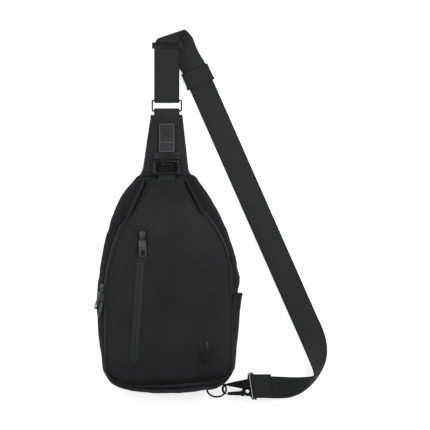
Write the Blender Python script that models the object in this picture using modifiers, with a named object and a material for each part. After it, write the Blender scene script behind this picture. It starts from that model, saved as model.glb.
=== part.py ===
"""Sling bag lying on its back, with a hinged upper front panel, zips, clasp, webbing strap, clip and ring.

Lengths are millimetres in this script and metres in the scene. X points to the bag's right seen from the
front, Y runs up to the neck and Z points out of the front. The back panel rests on Z = 0.
"""
import math

import bmesh
import bpy
from mathutils import Matrix, Vector

MM = 0.001
GAP = 0.35

# Body outlines: a start point, then arcs as (end x, end y, bulge to the outside, steps)
SIDE_START = (-36.0, 137.5)
SIDE_ARCS = (
    (-67.8, 91.3, 3.5, 4),
    (-89.0, -30.0, 5.2, 8),
    (-81.0, -104.0, 1.0, 4),
    (-50.0, -131.0, 6.5, 6),
    (45.0, -131.0, 4.5, 6),
    (82.0, -104.0, 9.0, 6),
    (84.5, -32.0, 1.0, 4),
    (90.0, 4.0, -1.0, 3),
    (63.0, 91.3, 4.0, 6),
    (32.0, 137.5, 2.0, 4),
    (-36.0, 137.5, 0.0, 4),
)
RIDGE_START = (-26.0, 131.0)
RIDGE_ARCS = (
    (-44.5, 89.0, 0.0, 4),
    (-75.5, -30.0, 11.0, 8),
    (-77.0, -104.0, 0.5, 4),
    (-52.0, -124.5, 5.0, 6),
    (44.0, -120.0, 1.5, 6),
    (79.0, -104.0, 7.0, 6),
    (79.5, -32.0, 0.5, 4),
    (77.5, 4.0, 0.3, 3),
    (39.5, 91.6, 11.5, 6),
    (18.8, 132.5, 0.0, 4),
    (-26.0, 131.0, 0.0, 4),
)

# The body is full depth up to TAPER_FROM and thins to TAPER_END of it at the neck
TAPER_FROM = 72.0
TAPER_TO = 138.0
TAPER_END = 0.5
RIM_HEIGHT = 48.5
CROWN = 10.5
CROWN_POWER = 5
CROWN_RINGS = (0.94, 0.86, 0.76, 0.63, 0.45, 0.2)

# Wall levels: (inset from the side outline, share of the way to the ridge outline, height)
GUSSET_LEVELS = (
    (15.5, 0.0, 0.8),
    (11.5, 0.0, 5.0),
    (5.0, 0.0, 13.0),
    (0.0, 0.0, 24.0),
    (0.0, 0.14, 32.0),
    (0.0, 0.36, 38.0),
    (0.0, 0.60, 42.4),
)
ZIP_LEVELS = (
    (0.0, 0.64, 43.2),
    (0.0, 0.81, 46.0),
)
PANEL_LEVELS = (
    (0.0, 0.88, 47.1),
)
CLOTH = 2.0
TAPE = 1.2
FOLD_Y = 74.0
FOLD_GAP = 0.6
FOLD_Z = 60.0

# Back panel and what lies on it: (inset, height) levels
BACK_LEVELS = ((19.0, 0.0), (18.0, 1.2), (18.0, 4.0), (19.0, 5.0))
PAD_LEVELS = ((22.0, 5.4), (20.5, 7.0), (22.0, 9.0))
SLEEVE_X = (-45.0, 45.0)
SLEEVE_Y = (-85.0, 30.0)
SLEEVE_Z = (9.4, 11.0)

# Front pocket zip
ZIP_TOP = (-30.8, 69.4)
ZIP_BOTTOM = (-42.4, -97.5)
ZIP_SLOT = 11.4
ZIP_TAPE_IN = 0.35
ZIP_TAPE_OUT = 5.3
ZIP_ROWS = 14
ZIP_END = 2.2
LINING_DROP = 9.0
LINING_INSET = 0.84
LINING_TOP = 0.5
LINING_CLOTH = 1.0
SLIDER_SIZE = (7.4, 10.0, 3.0)
SLIDER_FROM_TOP = 7.0
SLIDER_CLEAR = 1.8
PULLER_SIZE = (9.0, 21.0, 1.2)
PULLER_HOLE = (5.0, 6.5)
PULLER_LEAN = 8.5
PULLER_OFF = 1.7

# Main zip sliders on the left side, and for each puller its length, sideways lean, lift over the slider and
# distance of its hinge from the slider's end
MAIN_Y = (-3.0, -14.5)
MAIN_SLIDER = (6.4, 9.4, 2.6)
MAIN_CLEAR = 0.9
MAIN_PULLER = (4.8, 1.1)
MAIN_HOLE = (2.4, 5.0)
UPPER_PULLER = (24.0, 29.0, 3.1, 0.8)
LOWER_PULLER = (19.0, 22.0, 0.4, 1.8)

# Side slip pocket on the right wall
POCKET_TOP = -12.5
POCKET_END = -106.0
POCKET_ROWS = 8
POCKET_CLOTH = 1.5
POCKET_CLEAR = 2.2
POCKET_BULGE = 5.8
POCKET_COLUMNS = (
    (8.5, 0.0, 9.0, 0.1),
    (4.5, 0.0, 14.0, 0.6),
    (0.0, 0.0, 24.0, 1.0),
    (0.0, 0.14, 32.0, 1.0),
    (0.0, 0.5, 40.0, 0.5),
    (0.0, 0.75, 45.0, 0.15),
)
HEM_DEPTH = 3.0

# Neck
NECK_TOP = (-22.0, 18.3, 211.6)
NECK_LOW = (-33.0, 26.5, 138.2)
NECK_LEVELS = ((4.0, 4.0), (0.6, 7.0), (0.0, 10.5), (0.6, 14.0), (4.0, 17.0))
NECK_X = -1.6

# Neck ring, the webbing turned round it and the clasp
RING_OUTER = (38.4, 15.2)
RING_INNER = (34.4, 11.2)
RING_Y = 224.4
RING_Z = 10.5
RING_THICK = 2.0
RING_TURN = 2.5
TURN_RADIUS = 3.3
WEB_THICK = 1.6
WEB_WIDTH = 31.5
PATCH_X = (-12.5, 9.1)
PATCH_Y = (167.0, 203.0)
PATCH_Z = (17.4, 19.2)
HOOK_Y = (149.5, 166.4)
HOOK_Z = (17.4, 20.0)
HOOK_TONGUE = (14.0, 2.0, 24.6)
HOOK_WIDTH = 33.0
EAR_SPAN = 39.2
EAR_Y = (151.0, 158.0)
FRAME_OUTER = (34.0, 18.0)
FRAME_INNER = (27.0, 12.0)
FRAME_Y = 147.2
FRAME_Z = 22.0
FRAME_THICK = 3.0
TAB_WIDTH = 22.0
TAB_REACH = 4.0

# Strap: the doubled run above the neck ring, the fold at the top and the run down to the corner
FRONT_Z = 14.6
BACK_Z = 9.4
DOUBLE_FROM = 246.0
BACK_END = 303.0
FOLD_CENTRE = (-1.6, 311.6)
KEEPER_AT = (37.0, 261.0)
FOLD_RADIUS = 4.9
FOLD_SWING = 7.5
FOLD_REACH = 58.0
RUN_Z = 3.2
RUN_DIRECTION = (0.4038, -0.9148)
ACROSS = (-0.5, -0.25, 0.0, 0.25, 0.5)

# Corner of the strap: it stands up on its outer edge, turns, and lies down again on its way to the clip.
# Points of both edges, (x, y, z), in pairs from the straight run to the clip
CORNER_START = (172.1, -45.1)
CORNER_OUTER = (
    (195.0, -58.0, 2.6), (199.0, -76.0, 1.8), (198.2, -92.0, 1.4), (192.6, -107.0, 1.4),
    (182.0, -122.5, 1.6), (167.5, -134.8, 2.0), (152.0, -141.0, 3.0), (137.0, -142.2, 5.0),
    (122.0, -141.8, 7.2),
)
CORNER_INNER = (
    (166.2, -70.7, 4.0), (173.6, -87.6, 11.0), (179.1, -100.0, 20.0), (182.3, -109.5, 27.5),
    (181.5, -113.8, 29.0), (172.0, -115.2, 25.0), (158.0, -115.6, 18.5), (141.0, -115.0, 13.5),
    (123.5, -114.0, 10.2),
)
CORNER_SPLIT = 6
CORNER_STEPS = 3
END_WIDTH = 29.8
CLIP_TURN = 2.8
CLIP_TAIL = (128.8, 11.2, 2.6)
ADJUSTER_Y = 299.5
ADJUSTER_SIZE = (37.0, 7.6, 11.2)
ADJUSTER_SLOT = (32.4, 2.5)
KEEPER_SIZE = (36.0, 22.0, 5.0)
KEEPER_SLOT = (32.4, 2.4)

# Snap clip, bottom ring and its tab
CLIP_Z = 11.6
CLIP_THICK = 2.4
CLIP_ARM = (
    (106.5, -109.9), (101.2, -109.9), (99.6, -112.4), (99.2, -117.8), (94.0, -119.0), (84.0, -120.9),
    (73.8, -123.2), (69.0, -124.8), (66.9, -128.6), (67.3, -133.4), (70.0, -136.9), (73.0, -137.1),
    (73.6, -135.8), (71.5, -135.0), (70.1, -132.4), (70.0, -128.4), (71.8, -126.0), (92.6, -129.9),
)
CLIP_FOOT = ((97.0, -139.0), (102.6, -139.4), (104.0, -141.0), (105.4, -143.6), (111.1, -143.6))
CLIP_SLOT = (103.6, 106.4, -111.4, -142.0)
CLIP_BAR = 2.4
CLIP_SKEW = 0.15
CLIP_EYE = (99.4, -133.2, 2.2)
GATE_PIVOT = (93.4, -135.6)
GATE_TIP_X = 74.3
GATE_TIP = (-2.4, 1.3)
GATE_EYE = 3.0
GATE_ROOM = 0.35
GATE_THICK = 2.0
PIN_RADIUS = 0.75
PIN_HOLE = 1.1
PIN_HEAD = 3.8
RING_CENTRE = (60.75, -130.6)
RING_MAJOR = 12.0
RING_MINOR = 1.2
RING_TILT = 40.0
LOOP_WIDTH = 7.0
LOOP_HOLE = 2.0
LOOP_OUTER = 3.0
LOOP_REACH = 3.3

# Plain plate on the front
BADGE_AT = (45.7, -81.2)
BADGE_SIZE = (10.0, 24.0, 0.9)

for item in list(bpy.data.objects):
    bpy.data.objects.remove(item, do_unlink=True)

BAG = bpy.data.collections.new("sling_bag")
CUTTERS = bpy.data.collections.new("cutters")
bpy.context.scene.collection.children.link(BAG)
bpy.context.scene.collection.children.link(CUTTERS)


def material(name, red, green, blue, roughness, metallic=0.0):
    """Principled material with a linear base colour."""
    made = bpy.data.materials.new(name)
    made.use_nodes = True
    shader = made.node_tree.nodes["Principled BSDF"]
    shader.inputs["Base Color"].default_value = (red, green, blue, 1.0)
    shader.inputs["Roughness"].default_value = roughness
    shader.inputs["Metallic"].default_value = metallic
    return made


CLOTH_BLACK = material("black_nylon", 0.022, 0.022, 0.024, 0.75)
PANEL_BLACK = material("black_panel_nylon", 0.023, 0.023, 0.025, 0.7)
PAD_BLACK = material("black_padded_nylon", 0.016, 0.016, 0.017, 0.8)
LINING_GREY = material("grey_lining", 0.06, 0.06, 0.065, 0.8)
FOAM_GREY = material("grey_foam", 0.09, 0.09, 0.09, 0.9)
WEBBING = material("charcoal_webbing", 0.031, 0.034, 0.033, 0.85)
PATCH_WEB = material("grey_webbing", 0.052, 0.055, 0.055, 0.85)
ZIP_TAPE = material("zip_tape", 0.027, 0.031, 0.029, 0.8)
ZIP_TEETH = material("zip_teeth", 0.02, 0.021, 0.021, 0.45)
ZIP_METAL = material("zip_gunmetal", 0.05, 0.053, 0.055, 0.35, 0.9)
DARK_METAL = material("black_metal", 0.03, 0.031, 0.032, 0.38, 0.9)


def lay(obj, paint, collection=None):
    """Give an object its material and collection, and shade it smooth."""
    (collection or BAG).objects.link(obj)
    if paint is not None:
        obj.data.materials.clear()
        obj.data.materials.append(paint)
    for face in obj.data.polygons:
        face.use_smooth = True
    return obj


def mesh_object(name, points, faces, paint, frame=None, collection=None):
    """Object from points in millimetres, standing in the given frame."""
    mesh = bpy.data.meshes.new(name)
    mesh.from_pydata([Vector(point) * MM for point in points], [], faces)
    mesh.update()
    obj = lay(bpy.data.objects.new(name, mesh), paint, collection)
    if frame is not None:
        obj.matrix_world = frame
    return obj


def frame_at(origin, axis_x, axis_z):
    """Frame with its origin in millimetres, X along axis_x and Z as near axis_z as square to X."""
    x_axis = Vector(axis_x).normalized()
    y_axis = Vector(axis_z).cross(x_axis).normalized()
    z_axis = x_axis.cross(y_axis)
    turned = Matrix((x_axis, y_axis, z_axis)).transposed().to_4x4()
    return Matrix.Translation(Vector(origin) * MM) @ turned


def set_origin(obj, frame):
    """Move an object's origin into a frame without moving its surface."""
    obj.data.transform(frame.inverted() @ obj.matrix_world)
    obj.matrix_world = frame
    return obj


def walk(start, arcs):
    """Closed outline from a start point and arcs given by their bulge."""
    points = []
    here = Vector(start)
    for end_x, end_y, bulge, steps in arcs:
        there = Vector((end_x, end_y))
        chord = there - here
        outward = Vector((chord.y, -chord.x)).normalized()
        for step in range(1, steps + 1):
            share = step / steps
            points.append(here + chord * share + outward * (4.0 * bulge * share * (1.0 - share)))
        here = there
    return points


def inset(points, distance):
    """Outline moved inwards by a distance along its corner normals."""
    moved = []
    count = len(points)
    for index, point in enumerate(points):
        before = (point - points[index - 1]).normalized()
        after = (points[(index + 1) % count] - point).normalized()
        normal = Vector((before.y + after.y, -before.x - after.x)).normalized()
        lean = max(0.5, normal.dot(Vector((after.y, -after.x))))
        moved.append(point - normal * (distance / lean))
    return moved


def taper(y):
    """Share of the full depth at a height along the bag."""
    share = min(1.0, max(0.0, (y - TAPER_FROM) / (TAPER_TO - TAPER_FROM)))
    return 1.0 - (1.0 - TAPER_END) * share * share * (3.0 - 2.0 * share)


SIDE = walk(SIDE_START, SIDE_ARCS)
RIDGE = walk(RIDGE_START, RIDGE_ARCS)


def wall_ring(distance, share, height):
    """One level of the body wall between the side outline and the ridge outline."""
    ring = []
    for outer, inner in zip(inset(SIDE, distance), RIDGE):
        spot = outer.lerp(inner, share)
        ring.append((spot.x, spot.y, height * taper(spot.y)))
    return ring


def crown_ring(share):
    """Ridge outline drawn in towards the middle of the front."""
    ring = []
    for spot in RIDGE:
        y = spot.y * share
        ring.append((spot.x * share, y, (RIM_HEIGHT + CROWN * (1.0 - share ** CROWN_POWER)) * taper(y)))
    return ring


def front_z(x, y):
    """Height of the front at a point inside the ridge outline."""
    best = 0.0
    for index, end in enumerate(RIDGE):
        start = RIDGE[index - 1]
        run = end - start
        cross = x * run.y - y * run.x
        if abs(cross) < 1e-9:
            continue
        reach = (start.x * run.y - start.y * run.x) / cross
        along = (start.x * y - start.y * x) / cross
        if reach > 0.0 and 0.0 <= along <= 1.0:
            best = max(best, 1.0 / reach)
    share = min(1.0, best)
    return (RIM_HEIGHT + CROWN * (1.0 - share ** CROWN_POWER)) * taper(y)


def grid_faces(rows, columns, cyclic):
    """Quads of a grid of rows, closed along the row when cyclic."""
    faces = []
    for row in range(rows - 1):
        for column in range(columns if cyclic else columns - 1):
            right = (column + 1) % columns
            low = row * columns
            high = low + columns
            faces.append((low + column, low + right, high + right, high + column))
    return faces


def thicken(obj, thickness, side):
    """Solidify modifier: side -1 keeps the sheet as the outer face, 0 as the middle."""
    shell = obj.modifiers.new("thickness", 'SOLIDIFY')
    shell.thickness = thickness * MM
    shell.offset = side
    shell.use_even_offset = True
    return obj


def sheet(name, rows, thickness, paint, cyclic=False, side=-1.0, frame=None):
    """Sheet through rows of points, thickened to a closed body."""
    points = [point for row in rows for point in row]
    obj = mesh_object(name, points, grid_faces(len(rows), len(rows[0]), cyclic), paint, frame)
    return thicken(obj, thickness, side)


def dish(name, paint):
    """Front shell from its lower edge over the ridge to the middle."""
    rings = [wall_ring(*level) for level in PANEL_LEVELS]
    rings.append(crown_ring(1.0))
    rings.extend(crown_ring(share) for share in CROWN_RINGS)
    count = len(SIDE)
    points = [point for ring in rings for point in ring]
    faces = grid_faces(len(rings), count, True)
    points.append((0.0, 0.0, front_z(0.0, 0.001)))
    last = (len(rings) - 1) * count
    for column in range(count):
        faces.append((last + column, last + (column + 1) % count, len(points) - 1))
    return thicken(mesh_object(name, points, faces, paint), CLOTH, -1.0)


def pillow(name, outline, levels, paint):
    """Flat soft body from an outline at levels of (inset, height), closed at both ends."""
    rings = [[(spot.x, spot.y, height) for spot in inset(outline, distance)] for distance, height in levels]
    count = len(outline)
    points = [point for ring in rings for point in ring]
    faces = grid_faces(len(rings), count, True)
    faces.append(tuple(reversed(range(count))))
    faces.append(tuple(range(len(points) - count, len(points))))
    return mesh_object(name, points, faces, paint)


def plate(name, loops, thickness, paint, frame):
    """Flat plate from outlines and holes in a frame's XY plane, centred on that plane."""
    curve = bpy.data.curves.new(name, 'CURVE')
    curve.dimensions = '2D'
    curve.fill_mode = 'BOTH'
    curve.extrude = 0.5 * thickness * MM
    for loop in loops:
        spline = curve.splines.new('POLY')
        spline.points.add(len(loop) - 1)
        for point, spot in zip(spline.points, loop):
            point.co = (spot[0] * MM, spot[1] * MM, 0.0, 1.0)
        spline.use_cyclic_u = True
    drawn = bpy.data.objects.new(name + "_drawing", curve)
    BAG.objects.link(drawn)
    bpy.context.view_layer.update()
    mesh = bpy.data.meshes.new_from_object(drawn.evaluated_get(bpy.context.evaluated_depsgraph_get()))
    mesh.name = name
    bpy.data.objects.remove(drawn, do_unlink=True)
    bpy.data.curves.remove(curve)
    work = bmesh.new()
    work.from_mesh(mesh)
    bmesh.ops.remove_doubles(work, verts=work.verts, dist=0.001 * MM)
    bmesh.ops.recalc_face_normals(work, faces=work.faces)
    work.to_mesh(mesh)
    work.free()
    obj = lay(bpy.data.objects.new(name, mesh), paint)
    for face in mesh.polygons:
        face.use_smooth = False
    obj.matrix_world = frame
    return obj


def rectangle(width, height, x=0.0, y=0.0, corner=0.0):
    """Rectangle outline about a centre, its corners cut off when asked."""
    half_w = 0.5 * width
    half_h = 0.5 * height
    points = []
    for sign_x, sign_y in ((1, -1), (1, 1), (-1, 1), (-1, -1)):
        if corner <= 0.0:
            points.append((x + sign_x * half_w, y + sign_y * half_h))
            continue
        upright = (x + sign_x * half_w, y + sign_y * (half_h - corner))
        level = (x + sign_x * (half_w - corner), y + sign_y * half_h)
        points.extend((level, upright) if sign_x * sign_y < 0 else (upright, level))
    return points


def circle(x, y, radius, steps=14):
    """Circle outline."""
    turns = [2.0 * math.pi * step / steps for step in range(steps)]
    return [(x + radius * math.cos(turn), y + radius * math.sin(turn)) for turn in turns]


def block(name, size, paint, frame, bevel=0.0, collection=None):
    """Box about a frame's origin with bevelled edges."""
    mesh = bpy.data.meshes.new(name)
    work = bmesh.new()
    bmesh.ops.create_cube(work, size=1.0)
    bmesh.ops.scale(work, vec=Vector(size) * MM, verts=work.verts)
    work.to_mesh(mesh)
    work.free()
    obj = lay(bpy.data.objects.new(name, mesh), paint, collection)
    for face in mesh.polygons:
        face.use_smooth = False
    obj.matrix_world = frame
    if bevel > 0.0:
        edge = obj.modifiers.new("edge", 'BEVEL')
        edge.width = bevel * MM
        edge.segments = 2
    return obj


def combine(obj, other, operation):
    """Exact Boolean with a body of the cutters collection."""
    other.hide_render = True
    other.display_type = 'WIRE'
    step = obj.modifiers.new(operation.lower(), 'BOOLEAN')
    step.operation = operation
    step.solver = 'EXACT'
    step.object = other
    return obj


def cutter(name, size, frame):
    """Box in the cutters collection."""
    return block(name, size, None, frame, 0.0, CUTTERS)


def at(x, y, z):
    """Unturned frame at a point in millimetres."""
    return Matrix.Translation(Vector((x, y, z)) * MM)


def ribbon(name, stations, paint, thickness=WEB_THICK):
    """Webbing through stations of (centre, half width vector)."""
    rows = []
    for centre, half in stations:
        middle = Vector(centre)
        rows.append([middle - Vector(half), middle, middle + Vector(half)])
    return sheet(name, rows, thickness, paint, side=0.0)


def turned(y, z, radius, start, end, steps, x=NECK_X, half=0.5 * WEB_WIDTH):
    """Stations of webbing turning about a bar along X, angles from +Y towards +Z in degrees."""
    stations = []
    for step in range(steps + 1):
        turn = math.radians(start + (end - start) * step / steps)
        stations.append(((x, y + radius * math.cos(turn), z + radius * math.sin(turn)), (half, 0.0, 0.0)))
    return stations


# Body
pillow("back_panel", SIDE, BACK_LEVELS, PAD_BLACK)
pillow("back_pad", SIDE, PAD_LEVELS, FOAM_GREY)
block("inner_sleeve", (SLEEVE_X[1] - SLEEVE_X[0], SLEEVE_Y[1] - SLEEVE_Y[0], SLEEVE_Z[1] - SLEEVE_Z[0]),
      LINING_GREY, at(0.5 * sum(SLEEVE_X), 0.5 * sum(SLEEVE_Y), 0.5 * sum(SLEEVE_Z)), 0.4)
sheet("rear_gusset", [wall_ring(*level) for level in GUSSET_LEVELS], CLOTH, CLOTH_BLACK, True)
sheet("main_zip_tape", [wall_ring(*level) for level in ZIP_LEVELS], TAPE, ZIP_TAPE, True)


def chain_rows():
    """Rows of the main zip's teeth, standing off the tape, from the lower left round to the right."""
    rows = []
    count = len(SIDE)
    tape_low = wall_ring(*ZIP_LEVELS[0])
    tape_high = wall_ring(*ZIP_LEVELS[1])
    first = SIDE_ARCS[0][3] + SIDE_ARCS[1][3] + SIDE_ARCS[2][3] - 2
    last = sum(arc[3] for arc in SIDE_ARCS[:8]) + 1
    for index in range(first + count, last, -1):
        low = Vector(tape_low[index % count])
        high = Vector(tape_high[index % count])
        along = Vector(tape_low[(index + 1) % count]) - Vector(tape_low[(index - 1) % count])
        off = along.cross(high - low).normalized() * (GAP + 0.5)
        rows.append([low.lerp(high, 0.4) + off, low.lerp(high, 0.6) + off])
    return rows


sheet("main_zip_teeth", chain_rows(), 0.9, ZIP_TEETH, side=0.0)

front_panel = dish("front_panel", PANEL_BLACK)
flap_panel = dish("flap_panel", PANEL_BLACK)
FAR = 300.0
upper_cut = cutter("upper_half", (FAR, FAR, FAR), at(0.0, FOLD_Y - 0.5 * FOLD_GAP + 0.5 * FAR, 0.0))
lower_cut = cutter("lower_half", (FAR, FAR, FAR), at(0.0, FOLD_Y + 0.5 * FOLD_GAP - 0.5 * FAR, 0.0))
combine(front_panel, upper_cut, 'DIFFERENCE')
FOLD = frame_at((0.0, FOLD_Y, FOLD_Z), (1.0, 0.0, 0.0), (0.0, 0.0, 1.0))
set_origin(flap_panel, FOLD)
combine(flap_panel, lower_cut, 'DIFFERENCE')

# Front pocket: slot, tapes, end bars, lining
zip_top = Vector(ZIP_TOP)
zip_bottom = Vector(ZIP_BOTTOM)
zip_run = zip_bottom - zip_top
zip_way = zip_run.normalized()
zip_across = Vector((-zip_way.y, zip_way.x))
zip_middle = (zip_top + zip_bottom) * 0.5
slot_frame = frame_at((zip_middle.x, zip_middle.y, RIM_HEIGHT), zip_way.to_3d(), (0.0, 0.0, 1.0))
combine(front_panel, cutter("zip_slot", (zip_run.length, ZIP_SLOT, 60.0), slot_frame), 'DIFFERENCE')
for name, sign in (("pocket_tape_left", -1.0), ("pocket_tape_right", 1.0)):
    rows = []
    for row in range(ZIP_ROWS + 1):
        share = (row + 0.02 * (ZIP_ROWS - 2 * row)) / ZIP_ROWS
        spot = zip_top + zip_run * share
        edges = (ZIP_TAPE_IN, ZIP_TAPE_OUT) if sign > 0 else (-ZIP_TAPE_OUT, -ZIP_TAPE_IN)
        places = [spot + zip_across * edge for edge in edges]
        rows.append([(place.x, place.y, front_z(spot.x, spot.y) - 0.4) for place in places])
    sheet(name, rows, TAPE, ZIP_TAPE, side=1.0)
for name, end, inward in (("pocket_bar_top", zip_top, 1.0), ("pocket_bar_bottom", zip_bottom, -1.0)):
    spot = end + zip_way * (inward * 0.5 * ZIP_END)
    lift = front_z(spot.x, spot.y) + 1.1
    block(name, (ZIP_END, ZIP_SLOT, 0.9), WEBBING,
          frame_at((spot.x, spot.y, lift), zip_way.to_3d(), (0.0, 0.0, 1.0)), 0.25)
lining_rows = []
for share in (1.0, 0.7, 0.4, 0.1):
    ring = []
    for spot in RIDGE:
        x = spot.x * share * LINING_INSET
        y = spot.y * share * (LINING_TOP if spot.y > 0.0 else LINING_INSET)
        ring.append((x, y, front_z(x, y) - LINING_DROP))
    lining_rows.append(ring)
lining_points = [point for ring in lining_rows for point in ring]
lining_faces = grid_faces(len(lining_rows), len(RIDGE), True)
lining_faces.append(tuple(range(len(lining_points) - len(RIDGE), len(lining_points))))
thicken(mesh_object("pocket_lining", lining_points, lining_faces, LINING_GREY), LINING_CLOTH, -1.0)

# Front pocket slider and puller
slider_spot = zip_top + zip_way * SLIDER_FROM_TOP
slider_z = front_z(slider_spot.x, slider_spot.y) + SLIDER_CLEAR + 0.5 * SLIDER_SIZE[2]
slider_frame = frame_at((slider_spot.x, slider_spot.y, slider_z), zip_across.to_3d(), (0.0, 0.0, 1.0))
block("pocket_slider", SLIDER_SIZE, ZIP_METAL, slider_frame, 0.8)
pivot_spot = slider_spot + zip_way * (0.5 * SLIDER_SIZE[1] + PULLER_OFF)
pivot_frame = frame_at((pivot_spot.x, pivot_spot.y, slider_z), zip_across.to_3d(), (0.0, 0.0, 1.0))


def puller(name, size, hole, frame):
    """Puller plate hanging along -Y of its hinge frame, with a hole at its lower end."""
    width, length, thick = size
    outline = rectangle(width, length, 0.0, -0.5 * length + 0.4, 1.2)
    window = rectangle(hole[0], hole[1], 0.0, 0.4 - length + 0.5 * hole[1] + 1.8, 0.8)
    return plate(name, (outline, window), thick, ZIP_METAL, frame)


puller("pocket_puller", PULLER_SIZE, PULLER_HOLE,
       pivot_frame @ Matrix.Rotation(math.radians(PULLER_LEAN), 4, 'Z'))


def main_zip_frame(y):
    """Frame on the left run of the main zip: X inwards across the tape, Y up along it, Z off the cloth."""
    low = wall_ring(*ZIP_LEVELS[0])
    high = wall_ring(*ZIP_LEVELS[1])
    for index in range(len(SIDE) - 1):
        before = Vector(low[index]).lerp(Vector(high[index]), 0.5)
        after = Vector(low[index + 1]).lerp(Vector(high[index + 1]), 0.5)
        if before.x < 0.0 and after.y <= y <= before.y:
            share = (before.y - y) / (before.y - after.y)
            across = Vector(high[index]) - Vector(low[index])
            normal = (after - before).cross(across)
            return frame_at(before.lerp(after, share), across, normal)
    return None


for tag, y, pull in (("upper", MAIN_Y[0], UPPER_PULLER), ("lower", MAIN_Y[1], LOWER_PULLER)):
    length, lean, lift, off = pull
    base = main_zip_frame(y)
    middle = MAIN_CLEAR + 0.5 * MAIN_SLIDER[2] + 0.8
    block("main_slider_" + tag, MAIN_SLIDER, ZIP_METAL, base @ at(0.0, 0.0, middle), 0.7)
    hang = base @ at(0.0, -0.5 * MAIN_SLIDER[1] - off, middle + lift - 0.4)
    puller("main_puller_" + tag, (MAIN_PULLER[0], length, MAIN_PULLER[1]), MAIN_HOLE,
           hang @ Matrix.Rotation(math.radians(-lean), 4, 'Z'))

# Side slip pocket and its hem


def right_x(ring, y):
    """Right-hand edge of a closed ring of points at a height along the bag."""
    best = None
    for index, end in enumerate(ring):
        start = ring[index - 1]
        if (start[1] - y) * (end[1] - y) <= 0.0 and abs(start[1] - end[1]) > 1e-9:
            x = start[0] + (end[0] - start[0]) * (y - start[1]) / (end[1] - start[1])
            best = x if best is None else max(best, x)
    return best


def pocket_row(y, extra=0.0):
    """Points across the slip pocket at a height along the bag."""
    share = (y - POCKET_END) / (POCKET_TOP - POCKET_END)
    bulge = POCKET_BULGE * share * share * (3.0 - 2.0 * share)
    row = []
    for distance, way, height, swell in POCKET_COLUMNS:
        x = right_x(wall_ring(distance, way, height), y) + POCKET_CLEAR + bulge * swell + extra
        row.append((x, y, height + 0.5 * bulge * (1.0 - swell) * way))
    return row


pocket_ys = [POCKET_END + (POCKET_TOP - POCKET_END) * row / POCKET_ROWS for row in range(POCKET_ROWS + 1)]
sheet("side_pocket", [pocket_row(y) for y in pocket_ys], POCKET_CLOTH, CLOTH_BLACK)
hem_ys = (POCKET_TOP + GAP, POCKET_TOP + HEM_DEPTH)
hem_rows = []
for y in hem_ys:
    hem_rows.append([(x, y, z) for x, _, z in pocket_row(POCKET_TOP, 0.4)])
sheet("pocket_hem", hem_rows, POCKET_CLOTH + 0.6, WEBBING)

# Neck with its loop, ring, webbing patch, hook plate
neck_outline = [
    Vector((NECK_TOP[0], NECK_TOP[2])),
    Vector((NECK_LOW[0], NECK_LOW[2])),
    Vector((NECK_LOW[1], NECK_LOW[2])),
    Vector((NECK_TOP[1], NECK_TOP[2])),
]
pillow("neck_yoke", neck_outline, NECK_LEVELS, PAD_BLACK)
low_bar = RING_Y - 0.25 * (RING_OUTER[1] + RING_INNER[1])
high_bar = RING_Y + 0.25 * (RING_OUTER[1] + RING_INNER[1])
plate("neck_ring", (rectangle(*RING_OUTER, corner=1.5), rectangle(*RING_INNER)), RING_THICK, DARK_METAL,
      at(NECK_X, RING_Y, RING_Z))
loop_ends = NECK_TOP[2] + GAP
loop_half = (0.5 * WEB_WIDTH, 0.0, 0.0)
loop_stations = [((NECK_X, loop_ends, RING_Z - RING_TURN), loop_half)]
loop_stations.extend(turned(low_bar, RING_Z, RING_TURN, -90.0, 90.0, 8))
loop_stations.append(((NECK_X, loop_ends, RING_Z + RING_TURN), loop_half))
ribbon("neck_loop", loop_stations, CLOTH_BLACK)
block("clasp_webbing", (PATCH_X[1] - PATCH_X[0], PATCH_Y[1] - PATCH_Y[0], PATCH_Z[1] - PATCH_Z[0]), PATCH_WEB,
      at(0.5 * sum(PATCH_X), 0.5 * sum(PATCH_Y), 0.5 * sum(PATCH_Z)), 0.4)
half_hook = 0.5 * HOOK_WIDTH
half_ears = 0.5 * EAR_SPAN
half_gap = 0.5 * FRAME_OUTER[0] + GAP
hook_outline = (
    (half_ears, EAR_Y[0]), (half_ears, EAR_Y[1]), (half_hook, EAR_Y[1] + 1.5), (half_hook, HOOK_Y[1]),
    (-half_hook, HOOK_Y[1]), (-half_hook, EAR_Y[1] + 1.5), (-half_ears, EAR_Y[1]), (-half_ears, EAR_Y[0]),
    (-half_gap, EAR_Y[0]), (-half_gap, EAR_Y[1] - 1.0), (-0.5 * HOOK_TONGUE[0], EAR_Y[1] - 1.0),
    (-0.5 * HOOK_TONGUE[0], HOOK_Y[0]), (0.5 * HOOK_TONGUE[0], HOOK_Y[0]),
    (0.5 * HOOK_TONGUE[0], EAR_Y[1] - 1.0), (half_gap, EAR_Y[1] - 1.0), (half_gap, EAR_Y[0]),
)
plate("hook_plate", (hook_outline,), HOOK_Z[1] - HOOK_Z[0], DARK_METAL, at(NECK_X, 0.0, 0.5 * sum(HOOK_Z)))
tongue_height = HOOK_TONGUE[2] - HOOK_Z[1] - GAP
block("hook_tongue", (HOOK_TONGUE[0], HOOK_TONGUE[1], tongue_height), DARK_METAL,
      at(NECK_X, HOOK_Y[0] + 0.5 * HOOK_TONGUE[1], HOOK_TONGUE[2] - 0.5 * tongue_height), 0.5)

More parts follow.
